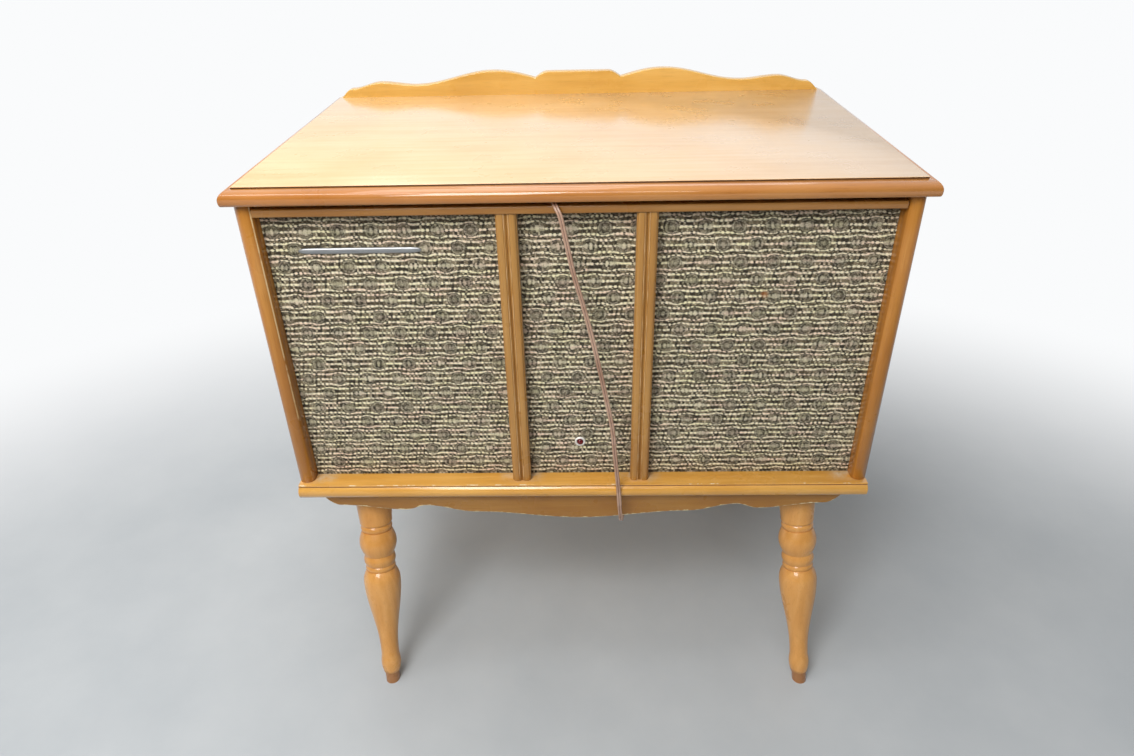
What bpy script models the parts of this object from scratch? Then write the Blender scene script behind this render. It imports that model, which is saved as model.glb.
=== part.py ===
"""Lift-lid stereo cabinet on four splayed turned legs, with its record changer, as separate pieces.

Units are metres. X runs to the viewer's right, Y to the back and Z up. The origin is on the floor,
under the middle of the case.
"""

import math

import bmesh
import bpy
import numpy as np
from mathutils import Matrix, Vector

# Case
CABINET_WIDTH = 0.730
CABINET_DEPTH = 0.458
GRILLE_HEIGHT = 0.373  # top of the base board to the underside of the lid
BASE_THICKNESS = 0.019
LEG_HEIGHT = 0.323  # floor to the underside of the base board
SIDE_THICKNESS = 0.019
SIDE_EDGE_DEPTH = 0.008  # depth of the half-round front edge
FIT = 0.0003  # gap between faces that seat on each other

# Lid
LID_THICKNESS = 0.018
LID_PANEL_INSET = 0.0027  # panel edge inside the case's outer faces
LID_NOSING_WIDTH = 0.012
LID_NOSE_HEIGHT = 0.006  # height of the nosing's widest point
LID_QUIRK_DROP = 0.0018  # step from the panel's face down to the nosing
LID_QUIRK_WIDTH = 0.0015
LID_UNDERCUT = 0.0015
LID_OPEN = math.radians(72)
GALLERY_THICKNESS = 0.0155
GALLERY_INSET = 0.004  # gallery end inside the panel's edge
GALLERY_ENDS = (  # distance from the gallery's end, height, bend
    (0.0200, 0.0095, "C"),
    (0.0600, 0.0196, "S"),
    (0.1140, 0.0160, "S"),
)
GALLERY_MIDDLE = (  # distance from the middle, height, bend
    (0.1270, 0.0343, "S"),
    (0.0640, 0.0232, "J"),
    (0.0450, 0.0320, "C"),
    (0.0, 0.0320, "L"),
)

# Front
RAIL_GAP = 0.0065  # slot between the lid and the top rail, where the cord goes in
RAIL_HEIGHT = 0.0085
CLOTH_SETBACK = 0.019
CLOTH_THICKNESS = 0.0012
BAFFLE_THICKNESS = 0.0095
DIVIDER_SPACING = 0.151  # between the middles of the two dividers
DIVIDER_WIDTH = 0.023
DIVIDER_SETBACK = 0.0015
DIVIDER_BACKING = 0.006  # flat part behind the reeds
REED_GROOVE = 0.0012
NOSING_OVERHANG = 0.0105
NOSING_SEAT = 0.0215  # how far the nosing strip reaches back behind the case's front plane
NOSING_FILLET = 0.0025
NOSING_STEP = 0.0046  # from the nose back to the fillet's face
NOSING_CURL = 0.0065  # how far the nose's lower edge curls back
APRON_SETBACK = 0.004
APRON_THICKNESS = 0.016
APRON_INSET = 0.020  # apron's end inside the case's outer face
APRON_SCALLOPS = (  # distance from the apron's end, drop, bend
    (0.0270, 0.0220, "C"),
    (0.1130, 0.0303, "S"),
    (0.1400, 0.0232, "S"),
    (0.2050, 0.0345, "S"),
)
APRON_MIDDLE_DROP = 0.0453
PILOT_DROP = 0.3227  # below the lid's underside
PILOT_RING_RADIUS = 0.0062
PILOT_JEWEL_RADIUS = 0.0042
PILOT_WALL = 0.0006

# Legs
LEG_RADIUS = 0.0254
LEFT_LEG_INSET = 0.0755  # plate centre inside the case's outer face
RIGHT_LEG_INSET = 0.0725
LEG_PLATE_INSET = 0.060  # plate centre behind the case's front plane
LEG_SPLAY = math.radians(15.9)
LEFT_LEG_LEAN = math.radians(-1.3)  # inward at the foot
RIGHT_LEG_LEAN = math.radians(4.2)
LEG_SEAT_DROP = 0.012  # sloped seat below the base board, on the leg's axis
LEG_PLATE_SIDE = 0.066
LEG_PLATE_THICKNESS = 0.003
LEG_STUD_RADIUS = 0.004
LEG_STUD_LENGTH = 0.009
LEG_STUD_CLEARANCE = 0.0004
LEG_STEPS = 16
LEG_TURNINGS = (  # length, start radius, end radius, swell, rings
    (0.0665, LEG_RADIUS, 0.0222, 0.0008, 3),  # cup
    (0.0050, 0.0222, 0.0203, 0.0008, 2),  # the cup's rounded edge
    (0.0095, 0.0200, 0.0200, 0.0017, 3),  # bead
    (0.0370, 0.0210, 0.0200, 0.0052, 6),  # bulb
    (0.0150, 0.0201, 0.0198, 0.0020, 3),  # collar
    (0.0080, 0.0192, 0.0196, 0.0014, 3),  # thin bead
    (0.0195, 0.0203, 0.0259, 0.0016, 4),  # shoulder of the vase
)
LEG_FOOT = (  # the same, below the long taper
    (0.0280, 0.0127, 0.0118, 0.0018, 4),  # ankle
    (0.0225, 0.0104, 0.0098, 0.0, 1),  # tip
)
LEG_WAIST = 0.008  # bare length between the taper and the ankle

# Back and inside
BACK_RAIL_HEIGHT = 0.045
BACK_RAIL_THICKNESS = 0.016
BACK_PANEL_THICKNESS = 0.004
BACK_PANEL_INSET = 0.006
VENT_WIDTH = 0.008
VENT_HEIGHT = 0.060
VENT_PITCH = 0.030
VENTS_PER_SIDE = 8
VENT_INSET = 0.046  # middle of the outermost vent inside the side panel
WELL_DEPTH = 0.150  # lid's underside to the top of the motor board
BOARD_THICKNESS = 0.012
BOARD_GROOVE = 0.006  # depth of the housing in each side panel
SPEAKER_RADIUS = 0.082
SPEAKER_INSET = 0.130  # speaker's middle inside the side panel
SPEAKER_RISE = 0.100  # above the base board
SPEAKER_FLANGE = 0.003
SPEAKER_LIP = 0.012  # from the flange's edge to the cone's edge
SPEAKER_ROLL = (0.016, 0.006)  # cone surround: inside the flange's edge, depth
SPEAKER_CAP = ((0.0, 0.024), (0.018, 0.030))  # dust cap: radius, depth
SPEAKER_BASKET = ((0.044, 0.048), (0.036, 0.050))  # basket's narrow end: radius, depth
SPEAKER_MAGNET = (0.036, 0.072)  # radius, depth of its rear face
SPEAKER_BASKET_STEP = 0.006  # basket's wide end inside the flange's edge

# Hinges and stay
HINGE_INSET = 0.106  # hinge's middle inside the side panel
HINGE_WIDTH = 0.060
HINGE_OFFSET = 0.0035  # axis behind the case's rear plane
BARREL_RADIUS = 0.003
BARREL_BORE = 0.00155
PIN_RADIUS = 0.0014
LEAF_THICKNESS = 0.0015
LEAF_HEIGHT = 0.0155
KNUCKLE_GAP = 0.0003
STAY_RADIUS = 0.140
STAY_WIDTH = 0.012
STAY_THICKNESS = 0.003
STAY_SLOT = 0.0052
STAY_STAND_OFF = 0.006  # stay's outer face from the side panel
STAY_STUD_ANGLE = math.radians(6.5)
STAY_END_MARGIN = math.radians(2.5)
STAY_STUD_RADIUS = 0.0022
STAY_NUT = (0.0055, 0.0035)  # radius, height
STAY_WASHER_RADIUS = 0.005
STAY_FOOT_WIDTH = 0.014
STAY_FOOT_THICKNESS = 0.003
STAY_FOOT_MARGIN = 0.006  # past the stay's band at each end

# Record changer
DECK_SIDE_GAP = 0.016  # from the left side panel
DECK_REAR_GAP = 0.031  # from the case's rear plane
DECK_WIDTH = 0.338
DECK_DEPTH = 0.288
DECK_HEIGHT = 0.012
DECK_SHEET = 0.0015
DECK_CORNER = 0.018
PLATTER_INSET = (0.155, 0.153)  # platter's middle from the deck's left end and rear edge
PLATTER_RADIUS = 0.127
PLATTER_RIM_WALL = 0.008
PLATTER_LIFT = 0.006  # rim's lower edge above the deck
PLATTER_HEIGHT = 0.020
PLATTER_SHEET = 0.003
MAT_THICKNESS = 0.0025
SPINDLE_RADIUS = 0.0036
SPINDLE_HEIGHT = 0.108
SPINDLE_CLEARANCE = 0.0005
SPINDLE_WASHER = (0.006, 0.003)  # width past the bore, height
MAT_RIBS = 2
MAT_RIB_PITCH = 0.048
MAT_GROOVE = (0.024, 0.0008)  # width, depth
MAT_GROOVE_SLOPE = 0.002
MAT_BORDER = 0.010
MAT_INSET = 0.003  # inside the platter's edge
IDLER_RADIUS = 0.018
IDLER_ANGLE = math.radians(-60)
PULLEY_RADIUS = 0.0035
PULLEY_ANGLE = math.radians(200)
MOTOR_SIZE = (0.060, 0.048, 0.042)
MOTOR_CLEARANCE = 0.004
ARM_INSET = (0.028, 0.048)  # arm's post from the deck's right end and rear edge
ARM_LENGTH = 0.205
ARM_TAIL = 0.034
ARM_PIVOT_HEIGHT = 0.046
ARM_WIDTH = 0.009
ARM_DEPTH = 0.011
ARM_HEAD_LENGTH = 0.034
ARM_HEAD_WIDTH = 0.019
ARM_PIN_RADIUS = 0.0015
ARM_CLEARANCE = 0.0004
ARM_REST_REACH = 0.145  # arm rest in front of the arm's post
OVERARM_INSET = (0.068, 0.020)  # overarm's post from the deck's right end and rear edge
OVERARM_HEIGHT = 0.111
OVERARM_RADIUS = 0.004
SPEED_LEVER_INSET = (0.076, 0.016)  # from the deck's right end and front edge

# Controls and amplifier
PANEL_SIDE_GAP = 0.046  # from the right side panel
PANEL_SETBACK = 0.117  # front edge behind the case's front plane
PANEL_WIDTH = 0.215
PANEL_DEPTH = 0.076
PANEL_THICKNESS = 0.002
KNOB_RADIUS = 0.015
KNOB_HEIGHT = 0.017
KNOB_PITCH = 0.068
SHAFT_RADIUS = 0.003
SHAFT_CLEARANCE = 0.0010
SHAFT_REACH = 0.010  # below the motor board
CHASSIS_HEIGHT = 0.055
CHASSIS_SHEET = 0.0015
CHASSIS_MARGIN = 0.012
TRANSFORMER_SIZE = (0.078, 0.062, 0.058)
TRANSFORMER_INSET = (0.176, 0.144)  # middle from the right side panel and the case's rear plane

# Cord: flat twin flex, its route from the strain relief to the stored coil
CORD_WIDTH = 0.0056
CORD_THICKNESS = 0.0029
CORD_EXIT_X = 0.100
CORD_EXIT_RISE = 0.035  # above the base board
RELIEF_LENGTH = 0.028
RELIEF_FLANGE = 0.0090
RELIEF_NECK = 0.0058
RELIEF_TIP = 0.0046
COIL_INSET = (0.077, 0.084)  # middle from the control panel's end and the case's front plane
COIL_RADIUS = 0.0335  # to the middle of the flex
COIL_TURNS = 2.25
COIL_TAIL = 0.030  # straight run from the top turn to the plug
COIL_POINTS_PER_TURN = 24
FLEX_ROUTE_STEPS = 3  # rings from one route point to the next
FLEX_END_STEPS = 3  # points round each rounded edge of the flex
COIL_GAP = 0.0006  # between a turn and the one above it
PLUG_LENGTH = 0.026
PLUG_WIDTH = 0.021
PLUG_BLADE = (0.016, 0.0063, 0.0015)
PLUG_BLADE_SPACING = 0.0127

# Places worked out from the driving dimensions
FRONT = -CABINET_DEPTH / 2
REAR = CABINET_DEPTH / 2
OUTER_X = CABINET_WIDTH / 2
INNER_X = OUTER_X - SIDE_THICKNESS
BASE_TOP = LEG_HEIGHT + BASE_THICKNESS
LID_UNDERSIDE = BASE_TOP + GRILLE_HEIGHT
LID_TOP = LID_UNDERSIDE + LID_THICKNESS
PANEL_X = OUTER_X - LID_PANEL_INSET
PANEL_FRONT = FRONT + LID_PANEL_INSET
RAIL_TOP = LID_UNDERSIDE - RAIL_GAP
RAIL_BOTTOM = RAIL_TOP - RAIL_HEIGHT
CLOTH_FRONT = FRONT + CLOTH_SETBACK
BAFFLE_FRONT = CLOTH_FRONT + CLOTH_THICKNESS + FIT
BAFFLE_REAR = BAFFLE_FRONT + BAFFLE_THICKNESS
BACK_PANEL_REAR = REAR - BACK_PANEL_INSET
BACK_PANEL_FRONT = BACK_PANEL_REAR - BACK_PANEL_THICKNESS
BOARD_TOP = LID_UNDERSIDE - WELL_DEPTH
BOARD_BOTTOM = BOARD_TOP - BOARD_THICKNESS
DECK_BOTTOM = BOARD_TOP + FIT
DECK_TOP = DECK_BOTTOM + DECK_HEIGHT
HINGE_AXIS = Vector((0.0, REAR + HINGE_OFFSET, LID_UNDERSIDE))
HINGE_X = INNER_X - HINGE_INSET
SPEAKER_X = INNER_X - SPEAKER_INSET
DECK_LOW = (DECK_SIDE_GAP - INNER_X, REAR - DECK_REAR_GAP - DECK_DEPTH)
DECK_HIGH = (DECK_LOW[0] + DECK_WIDTH, REAR - DECK_REAR_GAP)
PLATTER_X = DECK_LOW[0] + PLATTER_INSET[0]
PLATTER_Y = DECK_HIGH[1] - PLATTER_INSET[1]
ARM_X = DECK_HIGH[0] - ARM_INSET[0]
ARM_Y = DECK_HIGH[1] - ARM_INSET[1]
ARM_REST_Y = ARM_Y - ARM_REST_REACH
OVERARM_X = DECK_HIGH[0] - OVERARM_INSET[0]
OVERARM_Y = DECK_HIGH[1] - OVERARM_INSET[1]
SPEED_LEVER = (DECK_HIGH[0] - SPEED_LEVER_INSET[0], DECK_LOW[1] + SPEED_LEVER_INSET[1])
PANEL_HIGH = (INNER_X - PANEL_SIDE_GAP, FRONT + PANEL_SETBACK + PANEL_DEPTH)
PANEL_LOW = (PANEL_HIGH[0] - PANEL_WIDTH, FRONT + PANEL_SETBACK)
TRANSFORMER_AT = (INNER_X - TRANSFORMER_INSET[0], REAR - TRANSFORMER_INSET[1])
COIL_CENTRE = (PANEL_LOW[0] - COIL_INSET[0], FRONT + COIL_INSET[1])
ARM_PIVOT = Vector((ARM_X, ARM_Y, DECK_TOP + ARM_PIVOT_HEIGHT))
RIM_INNER = PLATTER_RADIUS - PLATTER_RIM_WALL
PLATTER_TOP = DECK_TOP + PLATTER_LIFT + PLATTER_HEIGHT
MAT_TOP = PLATTER_TOP + FIT + MAT_THICKNESS
IDLER_REACH = RIM_INNER - IDLER_RADIUS - FIT
IDLER_X = PLATTER_X + IDLER_REACH * math.cos(IDLER_ANGLE)
IDLER_Y = PLATTER_Y + IDLER_REACH * math.sin(IDLER_ANGLE)
PULLEY_REACH = IDLER_RADIUS + PULLEY_RADIUS + FIT
PULLEY_X = IDLER_X + PULLEY_REACH * math.cos(PULLEY_ANGLE)
PULLEY_Y = IDLER_Y + PULLEY_REACH * math.sin(PULLEY_ANGLE)
PANEL_MIDDLE_X = (PANEL_LOW[0] + PANEL_HIGH[0]) / 2
KNOB_Y = (PANEL_LOW[1] + PANEL_HIGH[1]) / 2
KNOB_XS = (PANEL_MIDDLE_X - KNOB_PITCH, PANEL_MIDDLE_X, PANEL_MIDDLE_X + KNOB_PITCH)
PILOT_Z = LID_UNDERSIDE - PILOT_DROP
CORD_REST = BOARD_TOP + FIT + CORD_THICKNESS / 2
CORD_EXIT_Z = BASE_TOP + CORD_EXIT_RISE
RELIEF_END = BACK_PANEL_REAR + FIT + 0.002 + RELIEF_LENGTH
COIL_RISE = CORD_THICKNESS + COIL_GAP


def clear_scene():
    for obj in list(bpy.data.objects):
        bpy.data.objects.remove(obj, do_unlink=True)


def finish(name, colour, roughness, metallic=0.0):
    """A plain Principled BSDF finish, with its colour given as linear values."""
    made = bpy.data.materials.new(name)
    made.use_nodes = True
    shader = made.node_tree.nodes["Principled BSDF"]
    shader.inputs["Base Color"].default_value = (*colour, 1.0)
    shader.inputs["Roughness"].default_value = roughness
    shader.inputs["Metallic"].default_value = metallic
    return made


def add_object(name, bm, coat, origin=(0.0, 0.0, 0.0)):
    """An object from a bmesh in world coordinates, with its own origin at the point given."""
    bmesh.ops.recalc_face_normals(bm, faces=bm.faces)
    mesh = bpy.data.meshes.new(name)
    bm.to_mesh(mesh)
    bm.free()
    mesh.transform(Matrix.Translation(-Vector(origin)))
    mesh.materials.append(coat)
    obj = bpy.data.objects.new(name, mesh)
    obj.location = origin
    bpy.context.scene.collection.objects.link(obj)
    return obj


def helper(obj):
    """Marks an object as a cutter or a piece that a union takes in."""
    obj.hide_render = True
    obj.display_type = "WIRE"
    obj.hide_set(True)
    return obj


def boolean(obj, operation, others):
    for other in others:
        modifier = obj.modifiers.new(operation.lower(), "BOOLEAN")
        modifier.operation = operation
        modifier.solver = "EXACT"
        modifier.object = helper(other)
    return obj


def cut(obj, *cutters):
    return boolean(obj, "DIFFERENCE", cutters)


def join(obj, *others):
    return boolean(obj, "UNION", others)


def shade_round(obj):
    """Smooth shading with the edges over 35 degrees kept sharp."""
    obj.data.shade_smooth()
    obj.data.set_sharp_from_angle(angle=math.radians(35))
    return obj


def block(name, low, high, coat):
    """A box between two corners."""
    bm = bmesh.new()
    bmesh.ops.create_cube(bm, size=1.0)
    low = Vector(low)
    high = Vector(high)
    for vert in bm.verts:
        vert.co = [(low[i] + high[i]) / 2 + vert.co[i] * (high[i] - low[i]) for i in range(3)]
    return add_object(name, bm, coat, (low + high) / 2)


def to_world(axis, a, b, along):
    """A point of an outline: (y, z) for an X extrusion, (x, z) for Y and (x, y) for Z."""
    return {"X": (along, a, b), "Y": (a, along, b), "Z": (a, b, along)}[axis]


def slab(name, outline, axis, low, high, coat):
    """An outline extruded along an axis between two places."""
    bm = bmesh.new()
    face = bm.faces.new([bm.verts.new(to_world(axis, a, b, low)) for a, b in outline])
    swept = bmesh.ops.extrude_face_region(bm, geom=[face])["geom"]
    shift = Vector(to_world(axis, 0.0, 0.0, high - low))
    bmesh.ops.translate(bm, vec=shift, verts=[g for g in swept if isinstance(g, bmesh.types.BMVert)])
    return add_object(name, bm, coat)


def loft(bm, rings):
    """Skins rings of equal length, in order, and caps both ends."""
    made = [[bm.verts.new(p) for p in ring] for ring in rings]
    for first, second in zip(made, made[1:]):
        for i in range(len(first)):
            j = (i + 1) % len(first)
            bm.faces.new((first[i], first[j], second[j], second[i]))
    bm.faces.new(made[0])
    bm.faces.new(made[-1])


def turned(name, profile, steps, coat, frame=None, ring=False):
    """A profile of (radius, height) turned about Z, then placed by a matrix.

    A solid piece starts and ends on the axis. A ring is a closed loop that stays off it.
    """
    bm = bmesh.new()
    rings = []
    for radius, height in profile:
        if radius < 1e-7:
            rings.append([bm.verts.new((0.0, 0.0, height))])
            continue
        angles = [2 * math.pi * k / steps for k in range(steps)]
        rings.append([bm.verts.new((radius * math.cos(t), radius * math.sin(t), height)) for t in angles])
    pairs = list(zip(rings, rings[1:]))
    if ring:
        pairs.append((rings[-1], rings[0]))
    for first, second in pairs:
        for k in range(steps):
            n = (k + 1) % steps
            corners = [first[k % len(first)], first[n % len(first)]]
            corners += [second[n % len(second)], second[k % len(second)]]
            bm.faces.new(list(dict.fromkeys(corners)))
    origin = Vector((0.0, 0.0, 0.0))
    if frame is not None:
        bm.transform(frame)
        origin = frame.translation
    return shade_round(add_object(name, bm, coat, origin))


def at(x, y, z):
    return Matrix.Translation((x, y, z))


def facing(direction, place):
    """A matrix that turns +Z to a direction and moves to a place."""
    return Matrix.Translation(place) @ Vector(direction).to_track_quat("Z", "Y").to_matrix().to_4x4()


def drum(name, low, high, radius, coat, steps=20):
    """A round bar between two points, used for shafts and for drilling."""
    low = Vector(low)
    span = Vector(high) - low
    profile = [(0.0, span.length), (radius, span.length), (radius, 0.0), (0.0, 0.0)]
    return turned(name, profile, steps, coat, facing(span, low))


def wave(stations, steps):
    """A curved edge through stations of (place, height, bend).

    The bend of a station says how the edge reaches it from the one before: S flat at both ends,
    J flat where it starts and steep where it ends, C the other way round, L straight.
    """
    edge = [stations[0][:2]]
    for (x0, z0, _), (x1, z1, bend) in zip(stations, stations[1:]):
        for k in range(1, steps + 1):
            t = k / steps
            share = {
                "S": (1 - math.cos(math.pi * t)) / 2,
                "J": 1 - math.cos(math.pi * t / 2),
                "C": math.sin(math.pi * t / 2),
                "L": t,
            }[bend]
            edge.append((x0 + (x1 - x0) * t, z0 + (z1 - z0) * share))
    return edge


def mirrored(half):
    """A half outline that runs from the outside to the middle, with its mirror image."""
    return half + [(-x, z) for x, z in reversed(half) if abs(x) > 1e-9]


def build_sides(wood):
    """Side panels with half-round front edges, housed for the motor board."""
    for name, side in (("side_panel_left", -1), ("side_panel_right", 1)):
        middle = side * (OUTER_X - SIDE_THICKNESS / 2)
        round_edge = [
            (middle + SIDE_THICKNESS / 2 * math.cos(t), FRONT + SIDE_EDGE_DEPTH * (1 - math.sin(t)))
            for t in np.linspace(0, math.pi, 9)
        ]
        outline = round_edge + [(middle - SIDE_THICKNESS / 2, REAR), (middle + SIDE_THICKNESS / 2, REAR)]
        panel = slab(name, outline, "Z", BASE_TOP + FIT, LID_UNDERSIDE - FIT, wood)
        inner = side * INNER_X
        groove = block(
            name + "_groove",
            (min(inner - side * 0.01, inner + side * BOARD_GROOVE), BAFFLE_FRONT, BOARD_BOTTOM - FIT),
            (max(inner - side * 0.01, inner + side * BOARD_GROOVE), REAR + 0.01, BOARD_TOP + FIT),
            wood,
        )
        cut(panel, groove)


def build_front(wood, cloth, ply):
    """Top rail, grille cloth, baffle, dividers, base board, nosing and apron."""
    block(
        "top_rail",
        (-INNER_X + FIT, FRONT, RAIL_BOTTOM),
        (INNER_X - FIT, CLOTH_FRONT - FIT, RAIL_TOP),
        wood,
    )
    hole = drum(
        "pilot_hole",
        (0, FRONT, PILOT_Z),
        (0, BAFFLE_REAR + 0.01, PILOT_Z),
        PILOT_JEWEL_RADIUS + PILOT_WALL + FIT,
        wood,
    )
    sheet = block(
        "grille_cloth",
        (-INNER_X + FIT, CLOTH_FRONT, BASE_TOP + FIT),
        (INNER_X - FIT, CLOTH_FRONT + CLOTH_THICKNESS, RAIL_TOP),
        cloth,
    )
    cut(sheet, hole)
    board = block(
        "baffle_board",
        (-INNER_X + FIT, BAFFLE_FRONT, BASE_TOP + FIT),
        (INNER_X - FIT, BAFFLE_REAR, RAIL_TOP),
        ply,
    )
    mouths = [
        drum(
            "speaker_mouth",
            (side * SPEAKER_X, FRONT, BASE_TOP + SPEAKER_RISE),
            (side * SPEAKER_X, BAFFLE_REAR + 0.01, BASE_TOP + SPEAKER_RISE),
            SPEAKER_RADIUS - SPEAKER_LIP,
            wood,
            28,
        )
        for side in (-1, 1)
    ]
    cut(board, hole, *mouths)
    for name, side in (("divider_left", -1), ("divider_right", 1)):
        slab(name, divider_section(side), "Z", BASE_TOP + FIT, RAIL_BOTTOM - FIT, wood)
    block(
        "base_board",
        (-OUTER_X, FRONT + NOSING_SEAT, LEG_HEIGHT),
        (OUTER_X, REAR, BASE_TOP),
        wood,
    )
    slab("base_nosing", nosing_section(), "X", -OUTER_X, OUTER_X, wood)
    build_apron(wood)


def divider_section(side):
    """Two half-round reeds side by side on a flat backing, with a groove between them."""
    middle = side * DIVIDER_SPACING / 2
    reed = DIVIDER_WIDTH / 4
    face = FRONT + DIVIDER_SETBACK
    shoulder = CLOTH_FRONT - FIT - DIVIDER_BACKING
    points = [(middle - DIVIDER_WIDTH / 2, CLOTH_FRONT - FIT)]
    for centre in (middle - reed, middle + reed):
        for t in np.linspace(math.pi, 0, 9):
            reach = (shoulder - face) * math.sin(t)
            points.append((centre + (reed - REED_GROOVE / 4) * math.cos(t), shoulder - reach))
    points.append((middle + DIVIDER_WIDTH / 2, CLOTH_FRONT - FIT))
    return points


def nosing_section():
    """The ledge's moulded edge: a fillet at the top, then a nose that curves in to the underside."""
    nose = FRONT - NOSING_OVERHANG
    seat = FRONT + NOSING_SEAT - FIT
    fillet_bottom = BASE_TOP - NOSING_FILLET
    belly = []
    for t in np.linspace(0.1, 2.75, 11):
        rise = (fillet_bottom - LEG_HEIGHT) * (1 - math.cos(t)) / 2
        belly.append((nose + NOSING_CURL * (1 - math.sin(t)), LEG_HEIGHT + rise))
    face = nose + NOSING_STEP
    return [(seat, LEG_HEIGHT), *belly, (face, fillet_bottom), (face, BASE_TOP), (seat, BASE_TOP)]


def build_apron(wood):
    """Scalloped apron: a rounded end, a shallow lobe, a cusp, and a long drop to the middle."""
    end = OUTER_X - APRON_INSET
    stations = [(end, 0.0, "L")]
    stations += [(end - inset, -drop, bend) for inset, drop, bend in APRON_SCALLOPS]
    stations.append((0.0, -APRON_MIDDLE_DROP, "S"))
    top = LEG_HEIGHT - FIT
    outline = [(x, top + z) for x, z in mirrored(wave(stations, 7))]
    front = FRONT + APRON_SETBACK
    slab("front_apron", outline, "Y", front, front + APRON_THICKNESS, wood)


def build_lid(wood):
    """Lid panel, its mitred nosings and the scalloped gallery."""
    pieces = [
        block("lid_panel", (-PANEL_X, PANEL_FRONT, LID_UNDERSIDE), (PANEL_X, REAR, LID_TOP), wood),
    ]
    section = lid_nosing_section()
    bm = bmesh.new()
    loft(
        bm,
        [
            [(-PANEL_X - d + FIT, PANEL_FRONT - d, LID_UNDERSIDE + z) for d, z in section],
            [(PANEL_X + d - FIT, PANEL_FRONT - d, LID_UNDERSIDE + z) for d, z in section],
        ],
    )
    pieces.append(add_object("lid_nosing_front", bm, wood))
    for name, side in (("lid_nosing_left", -1), ("lid_nosing_right", 1)):
        bm = bmesh.new()
        loft(
            bm,
            [
                [(side * (PANEL_X + d), PANEL_FRONT - d + FIT, LID_UNDERSIDE + z) for d, z in section],
                [(side * (PANEL_X + d), REAR, LID_UNDERSIDE + z) for d, z in section],
            ],
        )
        pieces.append(add_object(name, bm, wood))
    end = PANEL_X - GALLERY_INSET
    stations = [(end, 0.0, "L")]
    stations += [(end - inset, height, bend) for inset, height, bend in GALLERY_ENDS]
    stations += GALLERY_MIDDLE
    outline = [(x, LID_TOP + FIT + z) for x, z in mirrored(wave(stations, 6))]
    pieces.append(slab("lid_gallery", outline, "Y", REAR - GALLERY_THICKNESS, REAR, wood))
    return pieces


def lid_nosing_section():
    """Outward distance from the panel's edge, and height: an ovolo under a quirk, undercut below."""
    widest = LID_NOSING_WIDTH
    shoulder = LID_THICKNESS - LID_QUIRK_DROP
    ovolo = [
        (
            LID_QUIRK_WIDTH + (widest - LID_QUIRK_WIDTH) * math.cos(t),
            LID_NOSE_HEIGHT + (shoulder - LID_NOSE_HEIGHT) * math.sin(t),
        )
        for t in np.linspace(0, math.pi / 2, 7)
    ]
    under = [
        (widest - LID_UNDERCUT * (1 - math.cos(t)), LID_NOSE_HEIGHT * (1 - math.sin(t)))
        for t in np.linspace(math.pi / 2, 0, 4)[:-1]
    ]
    return [(FIT, 0.0)] + under + ovolo + [(FIT, shoulder)]


def leg_profile(length):
    """(radius, distance from the top face) down a turned leg, with its stud above the top.

    Each turning swells by a half sine between its two end radii. The long taper takes what is left, and
    thins slowly, then fast, then slowly, by a half cosine.
    """
    profile = [(0.0, -LEG_STUD_LENGTH), (LEG_STUD_RADIUS, -LEG_STUD_LENGTH), (LEG_STUD_RADIUS, 0.0)]
    down = 0.0
    for span, start, end, swell, count in LEG_TURNINGS:
        for k in range(count + 1):
            t = k / count
            profile.append((start + (end - start) * t + swell * math.sin(math.pi * t), down + span * t))
        down += span
    taper_end = length - sum(row[0] for row in LEG_FOOT) - LEG_WAIST
    thick = LEG_TURNINGS[-1][2]
    thin = LEG_FOOT[0][1]
    for t in (0.17, 0.34, 0.5, 0.66, 0.83, 1.0):
        share = (1 - math.cos(math.pi * t**0.9)) / 2
        profile.append((thick + (thin - thick) * share, down + (taper_end - down) * t))
    down = taper_end + LEG_WAIST
    for span, start, end, swell, count in LEG_FOOT:
        for k in range(count + 1):
            t = k / count
            profile.append((start + (end - start) * t + swell * math.sin(math.pi * t), down + span * t))
        down += span
    profile.append((0.0, down))
    return profile


def build_legs(wood, steel):
    """Four legs screwed into sloped plates, their feet cut level with the floor."""
    sides = (("left", -1, LEFT_LEG_INSET, LEFT_LEG_LEAN), ("right", 1, RIGHT_LEG_INSET, RIGHT_LEG_LEAN))
    for side_name, side, inset, lean in sides:
        for end_name, end in (("front", -1), ("rear", 1)):
            name = f"{end_name}_{side_name}"
            down = Vector((side * math.tan(lean), end * math.tan(LEG_SPLAY), -1.0)).normalized()
            under = Vector((side * (OUTER_X - inset), end * (-FRONT - LEG_PLATE_INSET), LEG_HEIGHT))
            seat = under + down * (LEG_SEAT_DROP / -down.z)
            build_leg_plate("leg_plate_" + name, under, seat, down, steel)
            reach = (seat.z + LEG_RADIUS * math.tan(LEG_SPLAY)) / -down.z
            profile = [(r, -s) for r, s in leg_profile(reach)]
            leg = turned("leg_" + name, profile, LEG_STEPS, wood, facing(-down, seat))
            bm = bmesh.new()
            bm.from_mesh(leg.data)
            bm.transform(Matrix.Translation(leg.location))
            everything = bm.verts[:] + bm.edges[:] + bm.faces[:]
            bmesh.ops.bisect_plane(
                bm, geom=everything, plane_co=(0, 0, 0), plane_no=(0, 0, -1), clear_outer=True
            )
            bmesh.ops.holes_fill(bm, edges=[e for e in bm.edges if e.is_boundary])
            bm.transform(Matrix.Translation(-leg.location))
            bm.to_mesh(leg.data)
            bm.free()
            shade_round(leg)


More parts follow.
